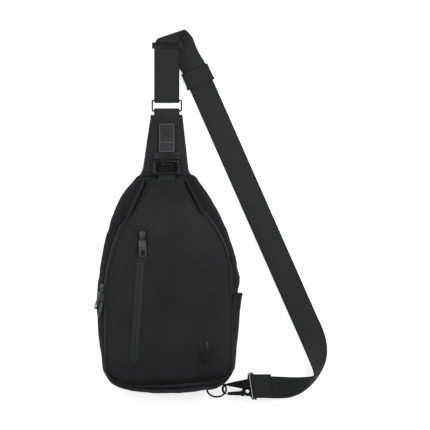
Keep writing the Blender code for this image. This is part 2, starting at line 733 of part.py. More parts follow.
# Clasp frame on its tab
frame_bar = FRAME_Y - 0.25 * (FRAME_OUTER[1] + FRAME_INNER[1])
clasp_frame = plate("clasp_frame", (rectangle(*FRAME_OUTER, corner=2.5), rectangle(*FRAME_INNER, corner=1.0)),
                    FRAME_THICK, DARK_METAL, at(NECK_X, FRAME_Y, FRAME_Z))
clasp_pivot = frame_at((NECK_X, frame_bar, FRAME_Z), (1.0, 0.0, 0.0), (0.0, 0.0, 1.0))
set_origin(clasp_frame, clasp_pivot)
tab_half = (0.5 * TAB_WIDTH, 0.0, 0.0)
tab_stations = []
for back in (TAB_REACH, 0.5 * TAB_REACH):
    y = frame_bar - 7.0 - back
    tab_stations.append(((NECK_X, y, front_z(NECK_X, y) + 1.6), tab_half))
tab_stations.append(((NECK_X, frame_bar - 6.0, FRAME_Z + TURN_RADIUS + 0.8), tab_half))
tab_stations.extend(turned(frame_bar, FRAME_Z, TURN_RADIUS, 90.0, -90.0, 8, half=0.5 * TAB_WIDTH))
tab_stations.append(((NECK_X, frame_bar - 1.8, FRAME_Z - TURN_RADIUS), tab_half))
set_origin(ribbon("clasp_tab", tab_stations, WEBBING), FOLD)

# Strap above the neck ring
web_half = (0.5 * WEB_WIDTH, 0.0, 0.0)
ring_turn = [((NECK_X, high_bar + 1.0, RING_Z + RING_TURN), web_half)]
ring_turn.extend(turned(high_bar, RING_Z, RING_TURN, 90.0, 270.0, 8))
ring_turn.append(((NECK_X, high_bar + 1.0, RING_Z - RING_TURN), web_half))
ribbon("strap_ring_turn", ring_turn, WEBBING)
layer_from = high_bar + 1.0 + GAP
ribbon("strap_back_layer", (
    ((NECK_X, layer_from, RING_Z - RING_TURN), web_half),
    ((NECK_X, DOUBLE_FROM, BACK_Z), web_half),
    ((NECK_X, BACK_END, BACK_Z), web_half),
), WEBBING)

fold_centre = Vector(FOLD_CENTRE)
keeper_at = Vector(KEEPER_AT)
fold_out = (keeper_at - fold_centre).normalized()
fold_axis = Vector((fold_out.x, fold_out.y + 1.0)).normalized()
fold_up = Vector((-fold_axis.y, fold_axis.x))
fold_base = fold_centre - Vector((0.0, FOLD_RADIUS))


def fold_point(along, across):
    """Point of the strap near the top fold: along the webbing from the fold, across its width."""
    climb = along * fold_up.y + across * fold_up.x
    slide = along * fold_axis.y + across * fold_axis.x
    half_turn = math.pi * FOLD_RADIUS
    middle_z = FRONT_Z - FOLD_RADIUS
    if climb <= 0.0:
        rise, z = climb, FRONT_Z
    elif climb >= half_turn:
        rise, z = half_turn - climb, middle_z - FOLD_RADIUS
    else:
        turn = climb / FOLD_RADIUS
        rise, z = FOLD_RADIUS * math.sin(turn), middle_z + FOLD_RADIUS * math.cos(turn)
    share = min(1.0, max(0.0, climb / FOLD_REACH))
    swing = FOLD_SWING * 6.75 * share * (1.0 - share) ** 2
    spot = fold_base + fold_axis * (slide + swing) + fold_up * rise
    return (spot.x, spot.y, z)


def fold_row(along):
    """Row of the strap across its width at a length from the fold."""
    return [fold_point(along, across) for across in (-0.5 * WEB_WIDTH, 0.0, 0.5 * WEB_WIDTH)]


FOLD_SPAN = 15.0
front_rows = []
for row_y, row_z in ((layer_from, RING_Z + RING_TURN), (DOUBLE_FROM, FRONT_Z)):
    front_rows.append([(NECK_X + share * WEB_WIDTH, row_y, row_z) for share in (-0.5, 0.0, 0.5)])
front_rows.append(fold_row(-FOLD_SPAN))
sheet("strap_front_layer", front_rows, WEB_THICK, WEBBING, side=0.0)
FOLD_STEPS = 16
FOLD_FAR = 30.0
fold_rows = []
for step in range(FOLD_STEPS + 1):
    start = GAP - FOLD_SPAN
    fold_rows.append(fold_row(start + (FOLD_FAR - start) * step / FOLD_STEPS))
sheet("strap_fold", fold_rows, WEB_THICK, WEBBING, side=0.0)

# Strap from the fold to the keeper, and down to the corner
run_way = Vector(RUN_DIRECTION).normalized()
run_side = Vector((-run_way.y, run_way.x))
fold_end = [Vector(point) for point in fold_row(FOLD_FAR + GAP)]
bend_half = (run_side * (0.5 * WEB_WIDTH)).to_3d()
keeper_spot = Vector((keeper_at.x, keeper_at.y, RUN_Z))
flip = 1.0 if (fold_end[2] - fold_end[0]).dot(bend_half) > 0 else -1.0
upper_rows = [fold_end]
for share in (0.5, 1.0):
    middle = fold_end[1].lerp(keeper_spot - run_way.to_3d() * 12.0, share)
    half = ((fold_end[2] - fold_end[0]) * 0.5).lerp(bend_half * flip, share)
    upper_rows.append([middle - half, middle, middle + half])
sheet("strap_upper", upper_rows, WEB_THICK, WEBBING, side=0.0)

def run_row(spot):
    """Row of the strap across its straight run."""
    row = []
    for share in ACROSS:
        edge = spot + run_side * (share * WEB_WIDTH)
        row.append(Vector((edge.x, edge.y, RUN_Z)))
    return row


corner_start = Vector(CORNER_START)
run_from = keeper_at - run_way * (12.0 - GAP)
run_rows = [run_row(run_from.lerp(corner_start, share)) for share in (0.0, 0.5, 1.0)]
sheet("strap_diagonal", run_rows, WEB_THICK, WEBBING, side=0.0)

# Strap from the corner to the clip, whose bar its end turns round to lie on top, sewn down
clip_bar = CLIP_SLOT[1] + 0.5 * CLIP_BAR
clip_y = 0.5 * (CLIP_SLOT[2] + CLIP_SLOT[3])
clip_from = clip_bar + 1.6
clip_low = CLIP_Z - CLIP_TURN
clip_half = Vector((-0.5 * CLIP_SKEW * END_WIDTH, 0.5 * END_WIDTH, 0.0))
clip_arrival = Vector((clip_from + GAP, clip_y, clip_low))
corner_outer = [run_rows[-1][-1]]
corner_outer.extend(Vector(point) for point in CORNER_OUTER)
corner_outer.append(clip_arrival - clip_half)
corner_inner = [run_rows[-1][0]]
corner_inner.extend(Vector(point) for point in CORNER_INNER)
corner_inner.append(clip_arrival + clip_half)


def curve_point(points, place):
    """Point of the smooth curve through some points, at a place counted in points from the first."""
    index = min(int(place), len(points) - 2)
    share = place - index
    before = points[max(index - 1, 0)]
    start = points[index]
    end = points[index + 1]
    after = points[min(index + 2, len(points) - 1)]
    sway = before * 2.0 - start * 5.0 + end * 4.0 - after
    bend = (start - end) * 3.0 + after - before
    return start + (end - before + (sway + bend * share) * share) * (0.5 * share)


def corner_rows(first, last):
    """Rows of the strap between two places along the corner's edges."""
    rows = []
    count = CORNER_STEPS * math.ceil(last - first)
    for step in range(count + 1):
        place = first + (last - first) * step / count
        inner = curve_point(corner_inner, place)
        outer = curve_point(corner_outer, place)
        rows.append([inner.lerp(outer, share + 0.5) for share in ACROSS])
    return rows


ROW_GAP = 0.025
sheet("strap_corner", corner_rows(ROW_GAP, CORNER_SPLIT), WEB_THICK, WEBBING, side=0.0)
sheet("strap_end", corner_rows(CORNER_SPLIT + ROW_GAP, len(corner_outer) - 1.0), WEB_THICK, WEBBING, side=0.0)

tail_x, tail_z, tail_lean = CLIP_TAIL
clip_stations = [
    ((tail_x, clip_y, tail_z), (0.0, 0.5 * END_WIDTH, tail_lean)),
    ((clip_from, clip_y, CLIP_Z + CLIP_TURN), clip_half),
]
for step in range(9):
    turn = math.radians(90.0 + 180.0 * step / 8)
    turn_x = clip_bar + CLIP_TURN * math.cos(turn)
    clip_stations.append(((turn_x, clip_y, CLIP_Z + CLIP_TURN * math.sin(turn)), clip_half))
clip_stations.append(((clip_from, clip_y, clip_low), clip_half))
ribbon("strap_clip_turn", clip_stations, WEBBING)

# Adjuster on the doubled strap and keeper on the diagonal
adjuster_mid = 0.5 * (FRONT_Z + BACK_Z)
adjuster_frame = frame_at((NECK_X, ADJUSTER_Y, adjuster_mid), (1.0, 0.0, 0.0), (0.0, -1.0, 0.0))
plate("adjuster", (
    rectangle(ADJUSTER_SIZE[0], ADJUSTER_SIZE[2], corner=1.5),
    rectangle(ADJUSTER_SLOT[0], ADJUSTER_SLOT[1], 0.0, FRONT_Z - adjuster_mid),
    rectangle(ADJUSTER_SLOT[0], ADJUSTER_SLOT[1], 0.0, BACK_Z - adjuster_mid),
), ADJUSTER_SIZE[1], DARK_METAL, adjuster_frame)
keeper_frame = frame_at(keeper_spot, run_side.to_3d(), -run_way.to_3d())
plate("keeper", (
    rectangle(KEEPER_SIZE[0], KEEPER_SIZE[2], corner=0.8),
    rectangle(KEEPER_SLOT[0], KEEPER_SLOT[1]),
), KEEPER_SIZE[1], WEBBING, keeper_frame)

# Snap clip
slot_left, slot_right, slot_top, slot_bottom = CLIP_SLOT
slot_corners = [(slot_right, slot_bottom), (slot_right, slot_top)]
slot_corners.extend(((slot_left, slot_top), (slot_left, slot_bottom)))
clip_slot = [(x - CLIP_SKEW * (y - clip_y), y) for x, y in slot_corners]
clip_outline = list(CLIP_ARM)
for step in range(9):
    turn = math.radians(95.0 - 125.0 * step / 8)
    reach = GATE_EYE + GATE_ROOM
    clip_outline.append((GATE_PIVOT[0] + reach * math.cos(turn), GATE_PIVOT[1] + reach * math.sin(turn)))
clip_outline.extend(CLIP_FOOT)
plate("clip_body", (clip_outline, clip_slot, circle(*CLIP_EYE)), CLIP_THICK, DARK_METAL, at(0.0, 0.0, CLIP_Z))
gate_length = GATE_PIVOT[0] - GATE_TIP_X
gate_outline = [(-gate_length, GATE_TIP[0])]
for step in range(9):
    turn = math.radians(-105.0 + 210.0 * step / 8)
    gate_outline.append((GATE_EYE * math.cos(turn), GATE_EYE * math.sin(turn)))
gate_outline.append((-gate_length, GATE_TIP[1]))
gate_frame = at(GATE_PIVOT[0], GATE_PIVOT[1], CLIP_Z)
plate("clip_gate", (gate_outline, circle(0.0, 0.0, PIN_HOLE)), GATE_THICK, DARK_METAL, gate_frame)
head_low = 0.5 * CLIP_THICK + GAP
head_high = head_low + 0.8
pin_profile = ((0.0, head_high), (PIN_HEAD, head_high), (PIN_HEAD, head_low), (PIN_RADIUS, head_low),
               (PIN_RADIUS, -head_low), (PIN_HEAD, -head_low), (PIN_HEAD, -head_high), (0.0, -head_high))
pin_mesh = bpy.data.meshes.new("clip_pin")
pin_mesh.from_pydata([Vector((radius, 0.0, z)) * MM for radius, z in pin_profile],
                     [(index, index + 1) for index in range(len(pin_profile) - 1)], [])
pin = lay(bpy.data.objects.new("clip_pin", pin_mesh), DARK_METAL)
pin.matrix_world = gate_frame
spin = pin.modifiers.new("spin", 'SCREW')
spin.steps = 14
spin.render_steps = 14
spin.use_merge_vertices = True
spin.merge_threshold = 0.01 * MM
spin.use_normal_calculate = True
spin.use_normal_flip = True

# Ring at the bottom corner and the tab that holds it
tilt = math.radians(RING_TILT)
ring_middle = Vector((RING_CENTRE[0], RING_CENTRE[1], CLIP_Z))
ring_low = ring_middle + Vector((0.0, math.cos(tilt), -math.sin(tilt))) * RING_MAJOR
bpy.ops.mesh.primitive_torus_add(major_radius=RING_MAJOR * MM, minor_radius=RING_MINOR * MM,
                                 major_segments=28, minor_segments=8)
ring = bpy.context.object
ring.name = "bottom_ring"
for holder in list(ring.users_collection):
    holder.objects.unlink(ring)
lay(ring, DARK_METAL)
ring.matrix_world = at(*ring_middle) @ Matrix.Rotation(-tilt, 4, 'X')
bpy.context.view_layer.update()
set_origin(ring, at(*ring_low))
loop_outline = [(LOOP_REACH, LOOP_OUTER * 0.5), (LOOP_OUTER * 0.9, LOOP_OUTER * 0.75)]
for step in range(11):
    turn = math.radians(60.0 + 240.0 * step / 10)
    loop_outline.append((LOOP_OUTER * math.cos(turn), LOOP_OUTER * math.sin(turn)))
loop_outline.extend(((LOOP_OUTER * 0.9, -LOOP_OUTER * 0.75), (LOOP_REACH, -LOOP_OUTER * 0.5)))
plate("ring_tab", (loop_outline, circle(0.0, 0.0, LOOP_HOLE)), LOOP_WIDTH, WEBBING,
      frame_at(ring_low, (0.0, 1.0, 0.0), (1.0, 0.0, 0.0)))

# Plain plate on the front
badge_z = max(front_z(BADGE_AT[0] + dx * BADGE_SIZE[0], BADGE_AT[1] + dy * BADGE_SIZE[1])
              for dx in (-0.5, 0.5) for dy in (-0.5, 0.5))
badge_middle = badge_z + GAP + 0.5 * BADGE_SIZE[2]
block("badge_plate", BADGE_SIZE, DARK_METAL, at(BADGE_AT[0], BADGE_AT[1], badge_middle), 0.3)
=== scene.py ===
"""Black sling bag lying on its back, dressed in cloth, webbing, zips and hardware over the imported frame.

Lengths are millimetres up to the point where a mesh is made, and metres in the meshes. X points to the right
of the bag seen from the front, Y up to its neck and Z out of its front.
"""
import math

import bmesh
import bpy
from mathutils import Matrix, Vector, noise


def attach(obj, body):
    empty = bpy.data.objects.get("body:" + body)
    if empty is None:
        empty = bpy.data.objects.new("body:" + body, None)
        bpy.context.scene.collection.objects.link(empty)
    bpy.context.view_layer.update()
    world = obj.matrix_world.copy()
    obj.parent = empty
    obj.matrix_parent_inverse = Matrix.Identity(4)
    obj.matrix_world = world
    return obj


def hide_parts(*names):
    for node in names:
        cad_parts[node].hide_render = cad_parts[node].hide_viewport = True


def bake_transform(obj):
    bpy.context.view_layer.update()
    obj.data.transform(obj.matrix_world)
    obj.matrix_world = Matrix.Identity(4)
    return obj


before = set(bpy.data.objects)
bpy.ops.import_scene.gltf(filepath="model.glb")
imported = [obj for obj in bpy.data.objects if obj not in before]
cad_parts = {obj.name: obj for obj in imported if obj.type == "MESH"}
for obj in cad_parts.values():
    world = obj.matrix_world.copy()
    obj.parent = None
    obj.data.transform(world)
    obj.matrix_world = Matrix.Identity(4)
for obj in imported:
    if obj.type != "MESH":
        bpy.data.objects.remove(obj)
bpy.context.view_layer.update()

MM = 0.001
UP = Vector((0.0, 0.0, 1.0))
SCENE = bpy.context.scene

# Body outlines: a start point, then arcs as (end x, end y, bulge to the outside, steps)
SIDE_START = (-36.0, 137.5)
SIDE_ARCS = (
    (-67.8, 91.3, 3.5, 4), (-89.0, -30.0, 5.2, 8), (-81.0, -104.0, 1.0, 4), (-50.0, -131.0, 6.5, 6),
    (45.0, -131.0, 4.5, 6), (82.0, -104.0, 9.0, 6), (84.5, -32.0, 1.0, 4), (90.0, 4.0, -1.0, 3),
    (63.0, 91.3, 4.0, 6), (32.0, 137.5, 2.0, 4), (-36.0, 137.5, 0.0, 4),
)
RIDGE_START = (-26.0, 131.0)
RIDGE_ARCS = (
    (-44.5, 89.0, 0.0, 4), (-75.5, -30.0, 11.0, 8), (-77.0, -104.0, 0.5, 4), (-52.0, -124.5, 5.0, 6),
    (44.0, -120.0, 1.5, 6), (79.0, -104.0, 7.0, 6), (79.5, -32.0, 0.5, 4), (77.5, 4.0, 0.3, 3),
    (39.5, 91.6, 11.5, 6), (18.8, 132.5, 0.0, 4), (-26.0, 131.0, 0.0, 4),
)
TOP_MIDDLE = -3.6
TAPER_FROM = 72.0
TAPER_TO = 138.0
TAPER_END = 0.5
RIM_HEIGHT = 48.5
CROWN = 10.5
CROWN_POWER = 5
FLOOR_TO_BELLY = ((15.5, 0.8), (11.5, 5.0), (5.0, 13.0), (0.0, 24.0))
WALL_HEIGHTS = ((0.0, 24.0), (0.14, 32.0), (0.36, 38.0), (0.62, 42.8), (0.82, 46.3), (1.0, 48.5))
ZIP_EDGES = (0.60, 0.87)
LIP_MEETS = 0.73
LIP_TUCK = 0.06
LIP_DROP = 1.2
CLOTH = 2.0
WALL_INSIDE = (0.0, 0.0, 20.0)
UNDER_FLOOR = (0.0, 0.0, -300.0)

# Front pocket zip
ZIP_TOP = Vector((-30.8, 69.4))
ZIP_BOTTOM = Vector((-42.4, -97.5))
ZIP_SLOT = 11.4
ZIP_SEAM = 7.6
SLIDER_FROM_TOP = 7.0
SLIDER_Z = 60.51

# Neck, neck ring and clasp
NECK_X = -1.6
NECK_TOP = (-22.0, 18.3, 211.6)
NECK_LOW = (-33.0, 26.5, 138.2)
RING_Y = 224.4
RING_Z = 10.5
BAR_OFF = 6.6
RING_TURN = 2.5
PATCH_X = (-12.5, 9.1)
PATCH_Y = (165.0, 203.0)
TAB_WIDTH = 22.0

# Strap
WEB_THICK = 1.6
WEB_WIDTH = 31.5
FRONT_Z = 14.6
BACK_Z = 9.4
DOUBLE_FROM = 246.0
BACK_END = 303.0
FOLD_CENTRE = Vector((-1.6, 311.6))
FOLD_RADIUS = 4.9
FOLD_SWING = 7.5
FOLD_REACH = 58.0
FOLD_SPAN = 15.0
FOLD_FAR = 30.0
KEEPER_AT = Vector((37.0, 261.0))
KEEPER_DRIFT = 1.6
RUN_Z = 3.2
RUN_WAY = Vector((0.4038, -0.9148)).normalized()
CORNER_START = Vector((172.1, -45.1))
CORNER_OUTER = (
    (195.0, -58.0, 2.6), (199.0, -76.0, 1.8), (198.2, -92.0, 1.4), (192.6, -107.0, 1.4),
    (182.0, -122.5, 1.6), (167.5, -134.8, 2.0), (152.0, -141.0, 3.0), (137.0, -142.2, 5.0),
    (122.0, -141.8, 7.2),
)
CORNER_INNER = (
    (166.2, -70.7, 4.0), (173.6, -87.6, 11.0), (179.1, -100.0, 20.0), (182.3, -109.5, 27.5),
    (181.5, -113.8, 29.0), (172.0, -115.2, 25.0), (158.0, -115.6, 18.5), (141.0, -115.0, 13.5),
    (123.5, -114.0, 10.2),
)
END_WIDTH = 29.8
CLIP_BAR = 107.6
CLIP_SKEW = 0.15
CLIP_MIDDLE = -126.7
CLIP_Z = 11.6
CLIP_TURN = 2.8
CLIP_TAIL = (128.8, 11.2, 2.6)


def mm(point):
    """Point in metres from millimetres."""
    return Vector(point) * MM


def ease(value, low, high):
    """0 before low, 1 after high and a smooth rise between."""
    share = min(1.0, max(0.0, (value - low) / (high - low)))
    return share * share * (3.0 - 2.0 * share)


def mix(low, high, share):
    """Value between two values."""
    return low + (high - low) * share


# Camera straight above the middle of the picture, on a long lens
PICTURE_MIDDLE = (58.75, 87.5)
PICTURE_WIDTH = 537.5
CAMERA_HEIGHT = 5000.0
camera_data = bpy.data.cameras.new("camera")
camera_data.sensor_width = 36.0
camera_data.lens = camera_data.sensor_width * (CAMERA_HEIGHT - 20.0) / PICTURE_WIDTH
camera_data.clip_end = 20.0
camera = bpy.data.objects.new("camera", camera_data)
camera.location = mm((PICTURE_MIDDLE[0], PICTURE_MIDDLE[1], CAMERA_HEIGHT))
SCENE.collection.objects.link(camera)
SCENE.camera = camera


def linear(code):
    """Linear colour from an sRGB hex code."""
    parts = [int(code[place:place + 2], 16) / 255.0 for place in (1, 3, 5)]
    lit = [part / 12.92 if part <= 0.04045 else ((part + 0.055) / 1.055) ** 2.4 for part in parts]
    return (*lit, 1.0)


def node(tree, kind, inputs=None, **settings):
    """One shader node with its settings; each input is a value or the output it is linked from."""
    made = tree.nodes.new("ShaderNode" + kind)
    for key, value in settings.items():
        setattr(made, key, value)
    for key, value in (inputs or {}).items():
        if isinstance(value, bpy.types.NodeSocket):
            tree.links.new(value, made.inputs[key])
        else:
            made.inputs[key].default_value = value
    return made


def paint(name, **sockets):
    """Material with its shader's plain values set; returns the material, its tree and the shader."""
    made = bpy.data.materials.new(name)
    made.use_nodes = True
    shader = made.node_tree.nodes["Principled BSDF"]
    for key, value in sockets.items():
        shader.inputs[key.replace("_", " ")].default_value = value
    return made, made.node_tree, shader


def bands(size):
    """Scale that gives a wave texture bands of this many millimetres."""
    return 2.0 * math.pi / (20.0 * size * MM)


def grains(size):
    """Scale that gives a noise texture grains of this many millimetres."""
    return 1.0 / (size * MM)


def drive(tree, shader, **sources):
    """Link the shader's sockets of these names from the outputs given."""
    for key, source in sources.items():
        tree.links.new(source, shader.inputs[key.replace("_", " ")])


def nylon(name, dark, light, rough, thread, gloss):
    """Black plain-woven nylon: matt, hardly glossy even at grazing angles, with soft mottling from handling.

    The threads are drawn about three times as coarse as the real 0.4 mm ones so that a close view shows them.
    """
    made, tree, shader = paint(name, IOR=1.5, Specular_IOR_Level=gloss)
    place = node(tree, "TexCoord").outputs["Object"]
    apart = node(tree, "SeparateXYZ", {0: place}).outputs
    warp_way = node(tree, "Math", {0: apart["X"], 1: apart["Z"]}, operation='ADD').outputs[0]
    weft_way = node(tree, "Math", {0: apart["Y"], 1: apart["Z"]}, operation='SUBTRACT').outputs[0]
    turned = node(tree, "CombineXYZ", {"X": warp_way, "Y": weft_way}).outputs[0]
    wave = {"Vector": turned, "Scale": bands(thread), "Distortion": 0.6, "Detail Scale": 2.0}
    warp = node(tree, "TexWave", wave, bands_direction='X').outputs["Fac"]
    weft = node(tree, "TexWave", wave, bands_direction='Y').outputs["Fac"]
    weave = node(tree, "Math", {0: warp, 1: weft}, operation='MAXIMUM').outputs[0]
    mottle = {"Vector": place, "Scale": grains(45.0), "Detail": 4.0, "Roughness": 0.6}
    cloud = node(tree, "TexNoise", mottle).outputs["Fac"]
    speck = node(tree, "TexNoise", {"Vector": place, "Scale": grains(1.6), "Detail": 2.0}).outputs["Fac"]
    rumple = {"Vector": place, "Scale": grains(16.0), "Detail": 3.0, "Roughness": 0.55}
    crease = node(tree, "TexNoise", rumple).outputs["Fac"]
    tones = {"Value": cloud, "From Min": 0.3, "From Max": 0.7, "To Min": 0.25, "To Max": 0.75}
    tone = node(tree, "MapRange", tones).outputs[0]
    fleck = node(tree, "Math", {0: speck, 1: 0.35, 2: -0.17}, operation='MULTIPLY_ADD').outputs[0]
    shade = node(tree, "Math", {0: weave, 1: 0.22, 2: fleck}, operation='MULTIPLY_ADD').outputs[0]
    share = node(tree, "Math", {0: tone, 1: shade}, operation='ADD', use_clamp=True).outputs[0]
    colour = node(tree, "Mix", {0: share, 6: linear(dark), 7: linear(light)}, data_type='RGBA').outputs[2]
    matt = node(tree, "MapRange", {"Value": cloud, "To Min": rough - 0.08, "To Max": rough + 0.1}).outputs[0]
    soft = node(tree, "Bump", {"Height": crease, "Strength": 0.22, "Distance": 1.6 * MM}).outputs[0]
    threads = {"Height": weave, "Normal": soft, "Strength": 0.3, "Distance": 0.16 * MM}
    fine = node(tree, "Bump", threads).outputs[0]
    drive(tree, shader, Base_Color=colour, Roughness=matt, Normal=fine)
    return made


def webbing(name, dark, light, rib):
    """Charcoal woven polyester webbing: dull, ribbed across its run, with a flat bound edge on both sides.

    Its maps are in millimetres: U across the width and V along the run, and the distance from the nearer
    edge. The ribs are drawn about twice as coarse as the real 1 mm ones so that they show.
    """
    made, tree, shader = paint(name, IOR=1.5, Specular_IOR_Level=0.07)
    place = node(tree, "UVMap", uv_map="weave").outputs[0]
    wave = {"Vector": place, "Scale": bands(rib) * MM, "Distortion": 0.5, "Detail Scale": 1.5}
    rows = node(tree, "TexWave", wave, bands_direction='Y').outputs["Fac"]
    border = node(tree, "UVMap", uv_map="selvedge").outputs[0]
    margin = node(tree, "SeparateXYZ", {0: border}).outputs["X"]
    field = node(tree, "MapRange", {"Value": margin, "From Min": 1.1, "From Max": 2.2}).outputs[0]
    weave = node(tree, "Math", {0: rows, 1: field}, operation='MULTIPLY').outputs[0]
    solid = node(tree, "TexCoord").outputs["Object"]
    mottle = {"Vector": solid, "Scale": grains(26.0), "Detail": 4.0, "Roughness": 0.62}
    cloud = node(tree, "TexNoise", mottle).outputs["Fac"]
    thread = node(tree, "TexNoise", {"Vector": place, "Scale": 0.8, "Detail": 2.0}).outputs["Fac"]
    tone = node(tree, "Math", {0: weave, 1: 0.2, 2: -0.1}, operation='MULTIPLY_ADD').outputs[0]
    worn = node(tree, "Math", {0: cloud, 1: 0.5, 2: tone}, operation='MULTIPLY_ADD').outputs[0]
    flecked = node(tree, "Math", {0: thread, 1: 0.35, 2: worn}, operation='MULTIPLY_ADD').outputs[0]
    edged = {0: field, 1: 0.12, 2: flecked}
    share = node(tree, "Math", edged, operation='MULTIPLY_ADD', use_clamp=True).outputs[0]
    colour = node(tree, "Mix", {0: share, 6: linear(dark), 7: linear(light)}, data_type='RGBA').outputs[2]
    matt = node(tree, "MapRange", {"Value": cloud, "To Min": 0.72, "To Max": 0.92}).outputs[0]
    fine = node(tree, "Bump", {"Height": weave, "Strength": 0.55, "Distance": 0.35 * MM}).outputs[0]
    drive(tree, shader, Base_Color=colour, Roughness=matt, Normal=fine)
    return made


def plated(name, dark, light, rough, bare):
    """Zinc casting, plated or lacquered: a satin skin with fine pits and paler rubbed patches.

    The last value is the share of bare metal: most of it on a plated zip, little on black lacquer.
    """
    made, tree, shader = paint(name, Metallic=bare, Specular_IOR_Level=0.32)
    place = node(tree, "TexCoord").outputs["Object"]
    cloud = node(tree, "TexNoise", {"Vector": place, "Scale": grains(9.0), "Detail": 3.0}).outputs["Fac"]
    pits = node(tree, "TexNoise", {"Vector": place, "Scale": grains(0.7), "Detail": 2.0}).outputs["Fac"]
    rub = node(tree, "MapRange", {"Value": cloud, "From Min": 0.2, "From Max": 0.8}).outputs[0]
    colour = node(tree, "Mix", {0: rub, 6: linear(dark), 7: linear(light)}, data_type='RGBA').outputs[2]
    matt = node(tree, "MapRange", {"Value": cloud, "To Min": rough + 0.1, "To Max": rough - 0.08}).outputs[0]
    fine = node(tree, "Bump", {"Height": pits, "Strength": 0.12, "Distance": 0.08 * MM}).outputs[0]
    drive(tree, shader, Base_Color=colour, Roughness=matt, Normal=fine)
    return made


def knitted(name, dark, light, cell, rough):
    """Knitted polyester: small dark holes between bundles of yarn, drawn at about their real spacing."""
    made, tree, shader = paint(name, IOR=1.5, Specular_IOR_Level=0.2, Sheen_Weight=0.1, Sheen_Roughness=0.5)
    place = node(tree, "TexCoord").outputs["Object"]
    net = {"Vector": place, "Scale": grains(cell), "Randomness": 0.25}
    cells = node(tree, "TexVoronoi", net).outputs["Distance"]
    cloud = node(tree, "TexNoise", {"Vector": place, "Scale": grains(30.0), "Detail": 3.0}).outputs["Fac"]
    hole = node(tree, "MapRange", {"Value": cells, "From Min": 0.15, "From Max": 0.55}).outputs[0]
    tones = {0: cloud, 1: 0.5, 2: hole}
    share = node(tree, "Math", tones, operation='MULTIPLY_ADD', use_clamp=True).outputs[0]
    colour = node(tree, "Mix", {0: share, 6: linear(dark), 7: linear(light)}, data_type='RGBA').outputs[2]
    matt = node(tree, "MapRange", {"Value": cloud, "To Min": rough - 0.06, "To Max": rough + 0.06}).outputs[0]
    fine = node(tree, "Bump", {"Height": hole, "Strength": 0.4, "Distance": 0.3 * MM}).outputs[0]
    drive(tree, shader, Base_Color=colour, Roughness=matt, Normal=fine)
    return made


FRONT_NYLON = nylon("front_nylon", "#1d1d1f", "#323234", 0.62, 1.2, 0.1)
SIDE_NYLON = nylon("side_nylon", "#19191c", "#2b2b2e", 0.7, 1.2, 0.03)
NECK_NYLON = nylon("neck_nylon", "#212123", "#3a3a3c", 0.66, 1.2, 0.06)
LINING_CLOTH = nylon("grey_lining_cloth", "#2c2d30", "#45464a", 0.7, 0.9, 0.05)
STRAP_WEB = webbing("charcoal_webbing", "#202524", "#3e4443", 2.2)
PATCH_WEB = webbing("grey_patch_webbing", "#1e2121", "#505454", 2.0)
# Darker copy of the strap webbing for the strap end inside the clasp opening: painted shade for the shadow in
# that opening.
SHADE_TAB_WEB = webbing("tab_webbing_painted_shade", "#121514", "#262b2a", 1.8)
BACK_MESH = knitted("black_air_mesh", "#060607", "#19191b", 2.4, 0.85)
ZIP_KNIT = knitted("zip_tape_knit", "#191d1a", "#404642", 0.9, 0.8)
SIDE_KNIT = knitted("side_zip_tape_knit", "#131514", "#2c2e2d", 0.9, 0.85)
FOAM = knitted("grey_foam_cover", "#2b2b2d", "#4a4a4d", 1.8, 0.9)
TEETH = knitted("nylon_coil", "#171a18", "#3e443f", 0.6, 0.5)
THREAD = knitted("black_thread", "#0c0c0d", "#2b2c2d", 0.5, 0.7)
ZIP_METAL = plated("gunmetal_plate", "#383b3d", "#595d5f", 0.38, 0.3)
BLACK_METAL = plated("black_lacquered_zinc", "#0b0c0c", "#181919", 0.44, 0.06)
SATIN_METAL = plated("satin_black_zinc", "#191b1b", "#2d2f30", 0.28, 0.2)


def face_out(work, inside):
    """Turn every face of a shell the same way, away from a point inside it."""
    bmesh.ops.recalc_face_normals(work, faces=work.faces)
    middle = mm(inside)
    lean = sum(face.normal.dot(face.calc_center_median() - middle) * face.calc_area() for face in work.faces)
    if lean < 0.0:
        bmesh.ops.reverse_faces(work, faces=work.faces)


def settle(obj):
    """Make what the modifiers give the piece's own mesh."""
    bpy.context.view_layer.update()
    graph = bpy.context.evaluated_depsgraph_get()
    made = bpy.data.meshes.new_from_object(obj.evaluated_get(graph))
    old = obj.data
    obj.modifiers.clear()
    obj.data = made
    bpy.data.meshes.remove(old)
    made.name = obj.name


def piece(work, name, paints, body, stands_for=(), wall=0.0, side=0.0, soften=0.0):
    """Object from a finished bmesh, with a wall and rounded edges when asked, riding on its body."""
    mesh = bpy.data.meshes.new(name)
    work.to_mesh(mesh)
    work.free()
    obj = bpy.data.objects.new(name, mesh)
    SCENE.collection.objects.link(obj)
    for one in paints:
        mesh.materials.append(one)
    if wall > 0.0:
        shell = obj.modifiers.new("wall", 'SOLIDIFY')
        shell.thickness = wall * MM
        shell.offset = side
        shell.use_even_offset = side == 0.0
        shell.material_offset = len(paints) - 1
    if soften > 0.0:
        edge = obj.modifiers.new("soften", 'BEVEL')
        edge.width = soften * MM
        edge.segments = 2
        edge.limit_method = 'ANGLE'
        edge.angle_limit = math.radians(50.0)
        edge.use_clamp_overlap = True
    if obj.modifiers:
        settle(obj)
    obj.data.polygons.foreach_set("use_smooth", [True] * len(obj.data.polygons))
    obj.data.update()
    if body:
        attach(obj, body)
    if stands_for:
        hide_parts(*stands_for)
    return obj


def curve_through(points, pieces, closed):
    """Points on a smooth curve through the given ones, so many to each span."""
    count = len(points)
    made = []
    for index in range(count if closed else count - 1):
        here = points[index]
        there = points[(index + 1) % count]
        before = points[index - 1] if closed or index else here * 2.0 - there
        after = points[(index + 2) % count] if closed or index + 2 < count else there * 2.0 - here
        for step in range(pieces):
            t = step / pieces
            bend = (before * 2.0 - here * 5.0 + there * 4.0 - after) * (t * t)
            twist = (here * 3.0 - before - there * 3.0 + after) * (t * t * t)
            made.append((here * 2.0 + (there - before) * t + bend + twist) * 0.5)
    if not closed:
        made.append(points[-1].copy())
    return made


